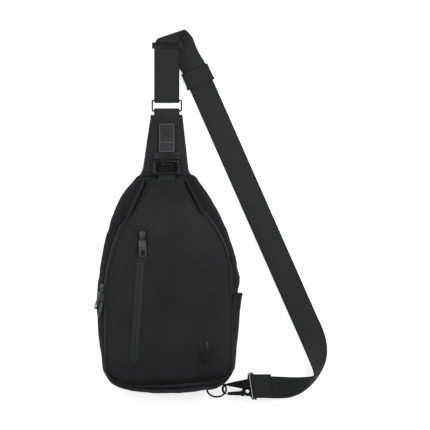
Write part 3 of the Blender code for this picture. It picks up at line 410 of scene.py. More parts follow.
def smooth_rows(rows, along_row, between_rows, closed):
    """Finer rows through coarse ones, smooth both ways."""
    finer = [curve_through([Vector(point) for point in row], along_row, closed) for row in rows]
    columns = [curve_through(list(column), between_rows, False) for column in zip(*finer)]
    return [list(row) for row in zip(*columns)]


def loft(work, rows, closed):
    """Skin through rows of points in millimetres: the first is drawn and each next one extruded from it.

    An open skin gets a UV map in millimetres, U across the row and V along the run.
    """
    place = work.verts.layers.int.get("place") or work.verts.layers.int.new("place")
    level = work.verts.layers.int.get("level") or work.verts.layers.int.new("level")
    first = [work.verts.new(mm(point)) for point in rows[0]]
    for index, vert in enumerate(first):
        vert[place] = index
        vert[level] = 0
    pairs = list(zip(first, first[1:] + first[:1])) if closed else list(zip(first, first[1:]))
    edges = [work.edges.new(pair) for pair in pairs]
    faces = []
    for row in range(1, len(rows)):
        grown = bmesh.ops.extrude_edge_only(work, edges=edges)["geom"]
        edges = [item for item in grown if isinstance(item, bmesh.types.BMEdge)]
        faces.extend(item for item in grown if isinstance(item, bmesh.types.BMFace))
        for vert in (item for item in grown if isinstance(item, bmesh.types.BMVert)):
            vert.co = mm(rows[row][vert[place]])
            vert[level] = row
    if not closed:
        run = [0.0]
        middle = len(rows[0]) // 2
        for before, after in zip(rows, rows[1:]):
            run.append(run[-1] + (Vector(after[middle]) - Vector(before[middle])).length)
        across = [0.0]
        for before, after in zip(rows[0], rows[0][1:]):
            across.append(across[-1] + (Vector(after) - Vector(before)).length)
        chart = work.loops.layers.uv.get("weave") or work.loops.layers.uv.new("weave")
        border = work.loops.layers.uv.get("selvedge") or work.loops.layers.uv.new("selvedge")
        for face in faces:
            for corner in face.loops:
                reach = across[corner.vert[place]]
                corner[chart].uv = (reach, run[corner.vert[level]])
                corner[border].uv = (min(reach, across[-1] - reach), 0.0)
    return edges


def cap(work, edges):
    """Close the last loop of a loft with a fan of faces."""
    made = bmesh.ops.contextual_create(work, geom=edges)["faces"]
    bmesh.ops.poke(work, faces=made)


def skin(rows, closed, inside):
    """Work mesh with a skin through rows, facing away from a point inside it."""
    work = bmesh.new()
    loft(work, rows, closed)
    face_out(work, inside)
    return work


def stuffed(rows, inside):
    """Work mesh with a closed skin through rows of loops, capped at both ends."""
    work = bmesh.new()
    cap(work, loft(work, rows, True))
    cap(work, [edge for edge in work.edges if edge.is_boundary])
    face_out(work, inside)
    return work


def drawn_out(value, power):
    """Cosine or sine pushed towards its ends, for the section of a flat stuffed piece."""
    return math.copysign(abs(value) ** power, value)


def tube(work, path, radius, sides, closed):
    """Round cord along a path of points in millimetres."""
    rows = []
    count = len(path)
    points = [Vector(point) for point in path]
    for index, point in enumerate(points):
        before = points[index - 1] if closed or index else point
        after = points[(index + 1) % count] if closed or index + 1 < count else point
        way = (after - before).normalized()
        flat = way.cross(UP)
        flat = flat.normalized() if flat.length > 1e-6 else Vector((1.0, 0.0, 0.0))
        tall = flat.cross(way)
        ring = []
        for step in range(sides):
            turn = 2.0 * math.pi * step / sides
            ring.append(point + (flat * math.cos(turn) + tall * math.sin(turn)) * radius)
        rows.append(ring)
    if closed:
        rows.append(rows[0])
    last = loft(work, rows, True)
    if closed:
        bmesh.ops.remove_doubles(work, verts=work.verts, dist=0.001 * MM)
    else:
        cap(work, last)
        rim = [edge for edge in work.edges if edge.is_boundary]
        if rim:
            cap(work, rim)


def walk(start, arcs):
    """Closed outline from a start point and arcs given by their bulge."""
    points = []
    here = Vector(start)
    for end_x, end_y, bulge, steps in arcs:
        there = Vector((end_x, end_y))
        chord = there - here
        outward = Vector((chord.y, -chord.x)).normalized()
        for step in range(1, steps + 1):
            share = step / steps
            points.append(here + chord * share + outward * (4.0 * bulge * share * (1.0 - share)))
        here = there
    return points


def inset(points, distance):
    """Outline moved inwards by a distance along its corner normals."""
    moved = []
    count = len(points)
    for index, point in enumerate(points):
        before = (point - points[index - 1]).normalized()
        after = (points[(index + 1) % count] - point).normalized()
        normal = Vector((before.y + after.y, -before.x - after.x)).normalized()
        lean = max(0.5, normal.dot(Vector((after.y, -after.x))))
        moved.append(point - normal * (distance / lean))
    return moved


def taper(y):
    """Share of the full depth at a height along the bag."""
    return 1.0 - (1.0 - TAPER_END) * ease(y, TAPER_FROM, TAPER_TO)


SIDE = walk(SIDE_START, SIDE_ARCS)
RIDGE = walk(RIDGE_START, RIDGE_ARCS)
COUNT = len(SIDE)
CHAIN_LEFT = 14
CHAIN_RIGHT = 42
COVER_FROM = 74.0
COVER_TO = 92.0


def closed_lip(index):
    """1 where the zip is hidden between touching lips of cloth, 0 where it shows."""
    on_chain = index <= CHAIN_LEFT or index >= CHAIN_RIGHT
    if not on_chain:
        return 1.0
    return ease(SIDE[index].y, COVER_FROM, COVER_TO)


def wall_height(share):
    """Height of the full-depth wall at a share of the way from the side to the ridge."""
    for (low, low_z), (high, high_z) in zip(WALL_HEIGHTS, WALL_HEIGHTS[1:]):
        if share <= high:
            return mix(low_z, high_z, (share - low) / (high - low))
    return WALL_HEIGHTS[-1][1]


def wall_point(index, share):
    """Point of the wall at an outline corner: shoulders swell beside the flap, and the bottom into a roll."""
    spot = SIDE[index].lerp(RIDGE[index], share)
    shoulder = ease(spot.y, 70.0, 96.0) * (1.0 - ease(abs(spot.y), 128.0, 139.0))
    aside = ease(abs(spot.x - TOP_MIDDLE), 13.0, 23.0)
    swell = shoulder * (mix(1.5, 5.5, aside) * math.sin(math.pi * share ** 0.8) - 2.2 * aside * share ** 6)
    bottom = ease(-spot.y, 106.0, 120.0)
    swell += bottom * (4.2 * math.sin(math.pi * share ** 1.2) - 1.8 * share ** 6)
    return Vector((spot.x, spot.y, wall_height(share) * taper(spot.y) + swell))


def front_z(x, y):
    """Height of the front at a point inside the ridge outline."""
    best = 0.0
    for index, end in enumerate(RIDGE):
        start = RIDGE[index - 1]
        run = end - start
        cross = x * run.y - y * run.x
        if abs(cross) < 1e-9:
            continue
        reach = (start.x * run.y - start.y * run.x) / cross
        along = (start.x * y - start.y * x) / cross
        if reach > 0.0 and 0.0 <= along <= 1.0:
            best = max(best, 1.0 / reach)
    share = min(1.0, best)
    return (RIM_HEIGHT + CROWN * (1.0 - share ** CROWN_POWER)) * taper(y)


def off_segment(spot, start, end):
    """Distance from a segment, and the share of the way along it."""
    run = end - start
    share = min(1.0, max(0.0, (spot - start).dot(run) / run.length_squared))
    return (spot - start - run * share).length, share


def ripple(x, y, size, seed):
    """Soft uneven swell of about this size, from -1 to 1."""
    return noise.noise(Vector((x / size, y / size, seed)))


CREASES = ((Vector((-26.0, 131.0)), Vector((-44.5, 89.0))), (Vector((18.8, 132.5)), Vector((39.5, 91.6))))
BOTTOM_CREASE = [Vector(spot) for spot in (
    (-77.0, -110.0), (-66.0, -117.5), (-50.0, -123.0), (-16.0, -123.0), (38.0, -119.0), (65.0, -117.0),
    (78.0, -112.0))]


def front_sculpt(point):
    """Lift or drop of the front cloth at a point: creases, soft dents and the pull of the zip and seams."""
    spot = Vector((point.x, point.y))
    lift = 0.7 * ripple(point.x, point.y, 52.0, 3.1) + 0.28 * ripple(point.x, point.y, 19.0, 7.7)
    for start, end in CREASES:
        off, share = off_segment(spot, start, end)
        depth = 4.4 * ease(share, -0.2, 0.25) * (1.0 - 0.5 * ease(share, 0.75, 1.0))
        lift -= depth * math.exp(-(off / 5.6) ** 2)
    if point.y < -90.0:
        off = min(off_segment(spot, start, end)[0] for start, end in zip(BOTTOM_CREASE, BOTTOM_CREASE[1:]))
        lift -= 3.0 * math.exp(-(off / 4.2) ** 2)
    off, share = off_segment(spot, ZIP_TOP, ZIP_BOTTOM)
    lift += 0.5 * math.exp(-((off - 8.5) / 2.6) ** 2) - 0.5 * math.exp(-((off - 13.0) / 4.0) ** 2)
    return lift


# Front: one cloth from the zip over the ridge and crown, the flap included
FINE = 6
CROWN_RINGS = (0.985, 0.94, 0.86, 0.76, 0.63, 0.45, 0.24, 0.05)
front_rows = []
for step in (0.0, 0.2, 0.5, 0.8, 1.0):
    row = []
    for index in range(COUNT):
        start = mix(ZIP_EDGES[1], LIP_MEETS + 0.01, closed_lip(index))
        row.append(wall_point(index, mix(start, 1.0, step)))
    front_rows.append(row)
for share in CROWN_RINGS:
    row = []
    for index in range(COUNT):
        spot = RIDGE[index] * share
        z = (RIM_HEIGHT + CROWN * (1.0 - share ** CROWN_POWER)) * taper(spot.y)
        row.append(Vector((spot.x, spot.y, z)))
    front_rows.append(row)
front_rows = smooth_rows(front_rows, FINE, 5, True)
for row in front_rows[4 * 5 - 8:]:
    for point in row:
        point.z += front_sculpt(point)
work = bmesh.new()
cap(work, loft(work, front_rows, True))
face_out(work, (0.0, 0.0, 0.0))
zip_way = (ZIP_BOTTOM - ZIP_TOP).normalized()
zip_across = Vector((-zip_way.y, zip_way.x))
zip_length = (ZIP_BOTTOM - ZIP_TOP).length


def on_zip(along, across):
    """Point beside the front pocket zip, on the front cloth."""
    spot = ZIP_TOP + zip_way * along + zip_across * across
    z = front_z(spot.x, spot.y)
    return Vector((spot.x, spot.y, z + front_sculpt(Vector((spot.x, spot.y, z)))))


half_slot = zip_across * (0.5 * ZIP_SLOT)
slot_sides = (
    (ZIP_TOP, zip_way), (ZIP_BOTTOM, zip_way),
    (ZIP_TOP + half_slot, zip_across), (ZIP_TOP - half_slot, zip_across),
)
for edge_spot, edge_way in slot_sides:
    near = []
    for face in work.faces:
        middle = face.calc_center_median() / MM
        off, _ = off_segment(Vector((middle.x, middle.y)), ZIP_TOP, ZIP_BOTTOM)
        if off < ZIP_SLOT and middle.z > RIM_HEIGHT:
            near.append(face)
    parts = set(near)
    for face in near:
        parts.update(face.edges)
        parts.update(face.verts)
    bmesh.ops.bisect_plane(work, geom=list(parts), dist=0.02 * MM, plane_co=mm(edge_spot.to_3d()),
                           plane_no=edge_way.to_3d())
hole = []
for face in work.faces:
    middle = face.calc_center_median() / MM
    local = Vector((middle.x, middle.y)) - ZIP_TOP
    inside = abs(local.dot(zip_across)) < 0.5 * ZIP_SLOT and 0.0 < local.dot(zip_way) < zip_length
    if inside and middle.z > RIM_HEIGHT:
        hole.append(face)
bmesh.ops.delete(work, geom=hole, context='FACES')
front = piece(work, "front_cloth", (FRONT_NYLON, LINING_CLOTH), None,
              ("front_panel", "flap_panel"), wall=CLOTH, side=-1.0)
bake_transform(front)

# Rear wall: from the back seam round the belly to the zip
rear_rows = []
for distance, height in FLOOR_TO_BELLY:
    rear_rows.append([Vector((spot.x, spot.y, height * taper(spot.y))) for spot in inset(SIDE, distance)])
for step in (0.3, 0.6, 1.0):
    row = []
    for index in range(COUNT):
        point = wall_point(index, step * mix(ZIP_EDGES[0], LIP_MEETS + LIP_TUCK, closed_lip(index)))
        point.z -= LIP_DROP * closed_lip(index) * step ** 4
        row.append(point)
    rear_rows.append(row)
rear_rows = smooth_rows(rear_rows, FINE, 5, True)
for level, row in enumerate(rear_rows):
    slack = math.sin(math.pi * level / (len(rear_rows) - 1))
    for point in row:
        way = Vector((point.x, point.y, 0.0)).normalized()
        turn = math.atan2(point.y, point.x)
        point += way * (slack * (0.8 * ripple(9.0 * turn, 0.045 * point.z, 1.0, 1.4)
                                 + 0.35 * ripple(24.0 * turn, 0.09 * point.z, 1.0, 5.2)))
piece(skin(rear_rows, True, WALL_INSIDE), "side_wall_cloth", (SIDE_NYLON, LINING_CLOTH), "bag",
      ("rear_gusset",), wall=CLOTH, side=-1.0)


def frame_at(origin, axis_x, axis_z):
    """Frame with its origin in millimetres, X along axis_x and Z as near axis_z as square to X."""
    x_axis = Vector(axis_x).normalized()
    y_axis = Vector(axis_z).cross(x_axis).normalized()
    turned = Matrix((x_axis, y_axis, x_axis.cross(y_axis))).transposed().to_4x4()
    return Matrix.Translation(mm(origin)) @ turned


def seed(work, place, size):
    """Small rounded bead of a few faces in a frame, its three widths in millimetres."""
    shape = Matrix.Diagonal((0.5 * size[0] * MM, 0.5 * size[1] * MM, 0.5 * size[2] * MM, 1.0))
    bmesh.ops.create_uvsphere(work, u_segments=6, v_segments=4, radius=1.0, matrix=place @ shape)


def along_path(path, spacing):
    """Frames at even steps along a path of (point, way out of the cloth): Y along it and Z out."""
    made = []
    left = 0.5 * spacing
    for (start, out), (end, _) in zip(path, path[1:]):
        run = end - start
        way = run.normalized()
        while left <= run.length:
            made.append(frame_at(start + way * left, way.cross(out), out))
            left += spacing
        left -= run.length
    return made


def stitch_row(work, path, spacing=3.2, length=2.3, width=0.75):
    """Raised stitches along a path of (point, way out of the cloth)."""
    for place in along_path(path, spacing):
        seed(work, place, (width, length, 0.8 * width))


def straight(points, out):
    """Path of (point, way out) through points that all face one way."""
    return [(Vector(point), Vector(out)) for point in points]


def rounded_copy(source, name, width, paints, body, segments=2):
    """Piece of the CAD node's own shape, its flat faces joined up and its edges rounded."""
    work = bmesh.new()
    work.from_mesh(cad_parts[source].data)
    bmesh.ops.remove_doubles(work, verts=work.verts, dist=0.002 * MM)
    bmesh.ops.dissolve_limit(work, angle_limit=math.radians(1.0), verts=work.verts, edges=work.edges)
    sharp = [edge for edge in work.edges if edge.is_manifold and edge.calc_face_angle() > math.radians(28.0)]
    bmesh.ops.bevel(work, geom=sharp, offset=width * MM, offset_type='OFFSET', segments=segments, profile=0.5,
                    affect='EDGES', material=-1, clamp_overlap=True)
    bmesh.ops.recalc_face_normals(work, faces=work.faces)
    made = piece(work, name, paints, body, (source,))
    made.data.set_sharp_from_angle(angle=math.radians(40.0))


def ribbon_rows(stations, count=7):
    """Rows across webbing from stations of (centre, half width vector), all running the same way across."""
    rows = []
    for centre, half in stations:
        middle = Vector(centre)
        reach = Vector(half)
        if rows and (rows[-1][-1] - rows[-1][0]).dot(reach) < 0.0:
            reach = -reach
        rows.append([middle + reach * (2.0 * step / (count - 1) - 1.0) for step in range(count)])
    return rows


def ribbon(name, rows, paints, body, stands_for, thick=WEB_THICK):
    """Webbing of an even thickness through rows, with softened edges."""
    work = bmesh.new()
    loft(work, rows, False)
    piece(work, name, paints, body, stands_for, wall=thick, soften=0.45)


# Piping along the two long edges of the front
RIDGE_ROW = 20
LEFT_PIPING = (3, 16)
RIGHT_PIPING = (32, 46)
PIPING_RADIUS = 1.25
work = bmesh.new()
for first, last in (LEFT_PIPING, RIGHT_PIPING):
    path = [point + UP * 0.45 for point in front_rows[RIDGE_ROW][first * FINE:last * FINE + 1]]
    for share, place in ((0.15, 0), (0.6, 1), (0.6, -2), (0.15, -1)):
        path[place] = path[place] - UP * (2.0 * (1.0 - share))
    tube(work, path, PIPING_RADIUS, 10, False)
face_out(work, (0.0, 0.0, 0.0))
piping = piece(work, "edge_piping", (FRONT_NYLON,), None)
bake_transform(piping)

# Main zip: a knitted tape all round and a nylon coil along the opening
tape_rows = []
for share in (0.57, 0.66, 0.73, 0.8, 0.9):
    tape_rows.append([wall_point(index, share) for index in range(COUNT)])
tape_rows = smooth_rows(tape_rows, FINE, 2, True)
TAPE_SINK = 1.1
LIP_SINK = 1.9
tape_outs = []
for column in range(len(tape_rows[0])):
    rise = tape_rows[-1][column] - tape_rows[0][column]
    way = tape_rows[4][(column + 1) % len(tape_rows[0])] - tape_rows[4][column - 1]
    tape_outs.append(way.cross(rise).normalized())
if tape_outs[8 * FINE].x > 0.0:
    tape_outs = [-out for out in tape_outs]
for row in tape_rows:
    for column, point in enumerate(row):
        point -= tape_outs[column] * (TAPE_SINK + LIP_SINK * closed_lip(column // FINE))
piece(skin(tape_rows, True, WALL_INSIDE), "main_tape", (SIDE_KNIT,), "bag", ("main_zip_tape",),
      wall=0.9, side=-1.0)
COIL_PITCH = 1.7
coil_path = []
for step in range((CHAIN_LEFT - CHAIN_RIGHT + COUNT) * FINE + 1):
    column = (CHAIN_LEFT * FINE - step) % len(tape_rows[0])
    coil_path.append((tape_rows[4][column] + tape_outs[column] * 0.35, tape_outs[column]))
work = bmesh.new()
for count, place in enumerate(along_path(coil_path, 0.5 * COIL_PITCH)):
    aside = 0.8 if count % 2 else -0.8
    seed(work, place @ Matrix.Translation(mm((aside, 0.0, 0.0))), (2.9, 1.05, 1.0))
piece(work, "main_coil", (TEETH,), "bag", ("main_zip_teeth",))


def slider(name, place, size, body, source):
    """Zip slider: a rounded body drawn in at its tail, with a bridge for the puller."""
    width, length, height = size
    work = bmesh.new()
    shell = bmesh.ops.create_cube(work, size=1.0)["verts"]
    bmesh.ops.scale(work, vec=mm((width, length, 0.7 * height)), verts=shell)
    bmesh.ops.subdivide_edges(work, edges=work.edges, cuts=2, use_grid_fill=True)
    for vert in work.verts:
        share = vert.co.y / (length * MM) + 0.5
        vert.co.x *= mix(0.72, 1.0, ease(share, 0.0, 0.6))
        vert.co.z -= 0.15 * height * MM
    sharp = [edge for edge in work.edges if edge.calc_face_angle() > math.radians(40.0)]
    bmesh.ops.bevel(work, geom=sharp, offset=0.55 * MM, segments=2, profile=0.5, affect='EDGES', material=-1)
    bridge = bmesh.ops.create_cube(work, size=1.0)["verts"]
    bmesh.ops.scale(work, vec=mm((0.36 * width, 0.62 * length, 0.62 * height)), verts=bridge)
    bmesh.ops.translate(work, vec=mm((0.0, -0.06 * length, 0.34 * height)), verts=bridge)
    edges = list({edge for vert in bridge for edge in vert.link_edges})
    bmesh.ops.bevel(work, geom=edges, offset=0.5 * MM, segments=2, profile=0.5, affect='EDGES', material=-1)
    bmesh.ops.transform(work, matrix=place, verts=work.verts)
    made = piece(work, name, (ZIP_METAL,), body, (source,))
    made.data.set_sharp_from_angle(angle=math.radians(50.0))


# Main zip sliders and their tags; a level is (share of the way to the ridge, height)
MAIN_SLIDER = (6.4, 9.4, 2.6)
MAIN_LEVELS = ((0.64, 43.2), (0.81, 46.0))
MAIN_LIFT = 3.0
UPPER_Y = -3.0
LOWER_Y = -14.5


def on_main_zip(y):
    """Frame of a slider on the left run of the main zip: X across the tape, Y up along it, Z off the cloth."""
    rings = []
    for share, height in MAIN_LEVELS:
        spots = [outer.lerp(inner, share) for outer, inner in zip(SIDE, RIDGE)]
        rings.append([Vector((spot.x, spot.y, height * taper(spot.y))) for spot in spots])
    low, high = rings
    middles = [below.lerp(above, 0.5) for below, above in zip(low, high)]
    for index, (before, after) in enumerate(zip(middles, middles[1:])):
        if before.x < 0.0 and after.y <= y <= before.y:
            across = high[index] - low[index]
            out = (after - before).cross(across).normalized()
            spot = before.lerp(after, (before.y - y) / (before.y - after.y))
            return frame_at(spot, across, out) @ Matrix.Translation(mm(UP * MAIN_LIFT))


slider("upper_slider", on_main_zip(UPPER_Y), MAIN_SLIDER, "upper_runner", "main_slider_upper")
slider("lower_slider", on_main_zip(LOWER_Y), MAIN_SLIDER, "lower_runner", "main_slider_lower")
rounded_copy("main_puller_upper", "upper_pull_tag", 0.3, (ZIP_METAL,), "upper_pull")
rounded_copy("main_puller_lower", "lower_pull_tag", 0.3, (ZIP_METAL,), "lower_pull")

# Front pocket zip: two knitted tapes, their coil, stitched frame, end bars, slider and tag
TAPE_DROP = 2.3
COIL_DROP = 1.95
SEAM_RISE = 0.15
SEAM_END = 2.5
BAR_PITCH = 0.55
BAR_RISE = 0.45
POCKET_SLIDER = (7.4, 10.0, 3.0)


def zip_line(start, end, across, steps, lift):
    """Points along the front pocket zip, this far to its side and this much above the cloth."""
    return [on_zip(mix(start, end, step / steps), across) + UP * lift for step in range(steps + 1)]


def zip_crossing(along, reach, steps, lift):
    """Points across the front pocket zip, from one side to the other."""
    return [on_zip(along, mix(-reach, reach, step / steps)) + UP * lift for step in range(steps + 1)]


work = bmesh.new()
for low, high in ((-7.4, -0.4), (0.4, 7.4)):
    columns = [zip_line(0.8, zip_length - 0.8, mix(low, high, part / 4), 44, -TAPE_DROP) for part in range(5)]
    loft(work, list(zip(*columns)), False)
face_out(work, (0.0, 0.0, -400.0))
piece(work, "pocket_zip_tapes", (ZIP_KNIT,), "bag", ("pocket_tape_left", "pocket_tape_right"),
      wall=0.8, side=-1.0)
work = bmesh.new()
coil_path = straight(zip_line(1.5, zip_length - 1.5, 0.0, 60, -COIL_DROP), UP)
for count, place in enumerate(along_path(coil_path, 0.5 * COIL_PITCH)):
    aside = 0.85 if count % 2 else -0.85
    seed(work, place @ Matrix.Translation(mm((aside, 0.0, 0.0))), (3.1, 1.1, 1.1))
piece(work, "pocket_coil", (TEETH,), "bag")
work = bmesh.new()
for across in (-ZIP_SEAM, ZIP_SEAM):
    stitch_row(work, straight(zip_line(-SEAM_END, zip_length + SEAM_END, across, 50, SEAM_RISE), UP))
for along in (-SEAM_END, zip_length + SEAM_END):
    stitch_row(work, straight(zip_crossing(along, ZIP_SEAM, 6, SEAM_RISE), UP))
piece(work, "pocket_zip_stitches", (THREAD,), "bag")
# Dark cords along both long edges of the slot: welts, drawn dark as painted shade for the shadow gap beside
# the tape.
work = bmesh.new()
for across in (-0.5 * ZIP_SLOT, 0.5 * ZIP_SLOT):
    tube(work, zip_line(0.5, zip_length - 0.5, across, 50, -0.5), 0.75, 8, False)
bmesh.ops.recalc_face_normals(work, faces=work.faces)
piece(work, "pocket_zip_welts_painted_shade", (THREAD,), "bag")
for name, source, along, reach in (("upper_zip_bar", "pocket_bar_top", 0.4, 9.8),
                                   ("lower_zip_bar", "pocket_bar_bottom", zip_length - 0.4, 8.0)):
    work = bmesh.new()
    for row in range(5):
        path = straight(zip_crossing(along + BAR_PITCH * (row - 2), reach, 12, BAR_RISE), UP)
        stitch_row(work, path, 1.5, 1.9, 0.85)
    piece(work, name, (THREAD,), "bag", (source,))
slider_spot = ZIP_TOP + zip_way * SLIDER_FROM_TOP
slider_place = frame_at((slider_spot.x, slider_spot.y, SLIDER_Z), zip_across.to_3d(), UP)
slider("pocket_slider_body", slider_place, POCKET_SLIDER, "pocket_runner", "pocket_slider")
rounded_copy("pocket_puller", "pocket_pull_tag", 0.35, (ZIP_METAL,), "pocket_pull")

# Strap: one webbing from its sewn end round the neck ring, over the fold and down to the clip
fold_out = (KEEPER_AT - FOLD_CENTRE).normalized()
fold_axis = Vector((fold_out.x, fold_out.y + 1.0)).normalized()
fold_up = Vector((-fold_axis.y, fold_axis.x))
fold_base = FOLD_CENTRE - Vector((0.0, FOLD_RADIUS))


def fold_point(along, across):
    """Point of the strap near the top fold: along the webbing from the fold, across its width."""
    climb = along * fold_up.y + across * fold_up.x
    slide = along * fold_axis.y + across * fold_axis.x
    half_turn = math.pi * FOLD_RADIUS
    middle_z = FRONT_Z - FOLD_RADIUS
    if climb <= 0.0:
        rise, z = climb, FRONT_Z
    elif climb >= half_turn:
        rise, z = half_turn - climb, middle_z - FOLD_RADIUS
    else:
        turn = climb / FOLD_RADIUS
        rise, z = FOLD_RADIUS * math.sin(turn), middle_z + FOLD_RADIUS * math.cos(turn)
    share = min(1.0, max(0.0, climb / FOLD_REACH))
    swing = FOLD_SWING * 6.75 * share * (1.0 - share) ** 2
    spot = fold_base + fold_axis * (slide + swing) + fold_up * rise
    return Vector((spot.x, spot.y, z))


ACROSS = 9
shares = [step / (ACROSS - 1) - 0.5 for step in range(ACROSS)]
HALF_WEB = 0.5 * WEB_WIDTH
HIGH_BAR = RING_Y + BAR_OFF
LOW_BAR = RING_Y - BAR_OFF
strap_rows = []


def lay_row(row):
    """Add a row to the strap, turned round if it runs the other way across."""
    if strap_rows and (strap_rows[-1][-1] - strap_rows[-1][0]).dot(row[-1] - row[0]) < 0.0:
        row.reverse()
    strap_rows.append(row)


def level_row(y, z):
    """Row of the strap straight above the neck ring."""
    return [Vector((NECK_X + share * WEB_WIDTH, y, z)) for share in shares]


BACK_STATIONS = (
    (BACK_END, BACK_Z), (290.0, BACK_Z), (275.0, BACK_Z), (260.0, BACK_Z), (DOUBLE_FROM, 9.2), (238.0, 8.3),
)
FRONT_STATIONS = ((238.0, 14.2), (DOUBLE_FROM, FRONT_Z), (258.0, FRONT_Z), (270.0, FRONT_Z), (282.0, FRONT_Z))
for y, z in BACK_STATIONS:
    lay_row(level_row(y, z))
for step in range(9):
    turn = math.radians(270.0 - 180.0 * step / 8)
    lay_row(level_row(HIGH_BAR + RING_TURN * math.cos(turn), RING_Z + RING_TURN * math.sin(turn)))
for y, z in FRONT_STATIONS:
    lay_row(level_row(y, z))
for step in range(31):
    lay_row([fold_point(mix(-FOLD_SPAN, FOLD_FAR, step / 30), share * WEB_WIDTH) for share in shares])
fold_end = strap_rows[-1]
run_side = Vector((-RUN_WAY.y, RUN_WAY.x)).to_3d() * WEB_WIDTH
if (fold_end[-1] - fold_end[0]).dot(run_side) < 0.0:
    run_side = -run_side
keeper_spot = Vector((KEEPER_AT.x, KEEPER_AT.y, RUN_Z))
upper_end = keeper_spot - RUN_WAY.to_3d() * 12.0
for share in (0.25, 0.5, 0.75, 1.0):
    middle = fold_end[ACROSS // 2].lerp(upper_end, share)
    middle.x -= KEEPER_DRIFT * math.sin(math.pi * share)
    reach = (fold_end[-1] - fold_end[0]).lerp(run_side, share)
    lay_row([middle + reach * place for place in shares])
for step in range(24):
    spot = KEEPER_AT.lerp(CORNER_START, step / 24)
    lay_row([Vector((spot.x, spot.y, RUN_Z)) + run_side * place for place in shares])
CLIP_FROM = CLIP_BAR + 1.6
CLIP_LOW = CLIP_Z - CLIP_TURN
run_half = Vector((-RUN_WAY.y, RUN_WAY.x, 0.0)) * HALF_WEB
run_end = Vector((CORNER_START.x, CORNER_START.y, RUN_Z))
edges = []
for corner_edge, sign in ((CORNER_INNER, -1.0), (CORNER_OUTER, 1.0)):
    points = [run_end + run_half * sign]
    points.extend(Vector(point) for point in corner_edge)
    aside = -sign * 0.5 * END_WIDTH
    points.append(Vector((CLIP_FROM - CLIP_SKEW * aside, CLIP_MIDDLE + aside, CLIP_LOW)))
    edges.append(curve_through(points, 5, False))
for inner, outer in zip(*edges):
    lay_row([inner.lerp(outer, place + 0.5) for place in shares])


def clip_row(x, z, skew, lean):
    """Row of the strap across the clip's bar, skewed with the bar and leaning up to one side."""
    row = []
    for share in shares:
        aside = share * END_WIDTH
        row.append(Vector((x - skew * aside, CLIP_MIDDLE + aside, z + 2.0 * share * lean)))
    return row


for step in range(9):
    turn = math.radians(270.0 - 180.0 * step / 8)
    x = CLIP_BAR + CLIP_TURN * math.cos(turn)
    lay_row(clip_row(x, CLIP_Z + CLIP_TURN * math.sin(turn), CLIP_SKEW, 0.0))
tail_x, tail_z, tail_lean = CLIP_TAIL


def tail_row(share):
    """Row of the strap's sewn end on top of itself, from the clip to its cut edge."""
    x = mix(CLIP_FROM, tail_x, share)
    return clip_row(x, mix(CLIP_Z + CLIP_TURN, tail_z, share), CLIP_SKEW * (1.0 - share), tail_lean * share)


for step in range(5):
    lay_row(tail_row(step / 4))
strap_rows = smooth_rows(strap_rows, 1, 2, False)
ribbon("strap", strap_rows, (STRAP_WEB,), "bag", (
    "strap_back_layer", "strap_ring_turn", "strap_front_layer", "strap_fold", "strap_upper", "strap_diagonal",
    "strap_corner", "strap_end", "strap_clip_turn"))

# Neck: padded yoke, its loop round the neck ring, webbing patch and clasp


def inflate(obj, voxel, force, most, frames=20):
    """Swell a closed pad like stuffed cloth: voxel remesh, a short cloth run under pressure, moves capped."""
    remesh = obj.modifiers.new("remesh", 'REMESH')
    remesh.mode = 'VOXEL'
    remesh.voxel_size = voxel * MM
    settle(obj)
    cloth = obj.modifiers.new("cloth", 'CLOTH')
    cloth.settings.use_pressure = True
    cloth.settings.uniform_pressure_force = force
    cloth.settings.tension_stiffness = 12.0
    cloth.settings.compression_stiffness = 12.0
    cloth.settings.bending_stiffness = 0.6
    cloth.settings.effector_weights.gravity = 0.0
    cloth.point_cache.frame_start = 1
    cloth.point_cache.frame_end = frames
    for step in range(1, frames + 1):
        SCENE.frame_set(step)
    graph = bpy.context.evaluated_depsgraph_get()
    swollen = [vert.co.copy() for vert in obj.evaluated_get(graph).data.vertices]
    obj.modifiers.clear()
    SCENE.frame_set(1)
    for vert, there in zip(obj.data.vertices, swollen):
        move = there - vert.co
        if move.length > most * MM:
            move *= most * MM / move.length
        vert.co += move
    finer = obj.modifiers.new("finer", 'SUBSURF')
    finer.levels = 1
    finer.render_levels = 1
    settle(obj)


# Neck yoke: a stuffed pad, swollen by the cloth run and drawn back to its sewn edges
NECK_TUCK = 133.5
NECK_STEPS = 26
NECK_SIDES = 40
NECK_BAND = 3.0
NECK_HALF = 5.4
NECK_FLARE = 3.6
NECK_Z = (3.6, 17.2)


def neck_sides(y):
    """Left and right sewn edge of the neck at a height along the bag, flaring to the shoulders."""
    share = (y - NECK_LOW[2]) / (NECK_TOP[2] - NECK_LOW[2])
    flare = NECK_FLARE * (1.0 - ease(y, 134.0, 149.0))
    return mix(NECK_LOW[0], NECK_TOP[0], share) - flare, mix(NECK_LOW[1], NECK_TOP[1], share) + flare


def between_bands(reach, band, share):
    """Reach of the swollen neck between two of its bands, or at the one band that is known."""
    return mix(reach.get(band, reach.get(band + 1)), reach.get(band + 1, reach.get(band)), share)


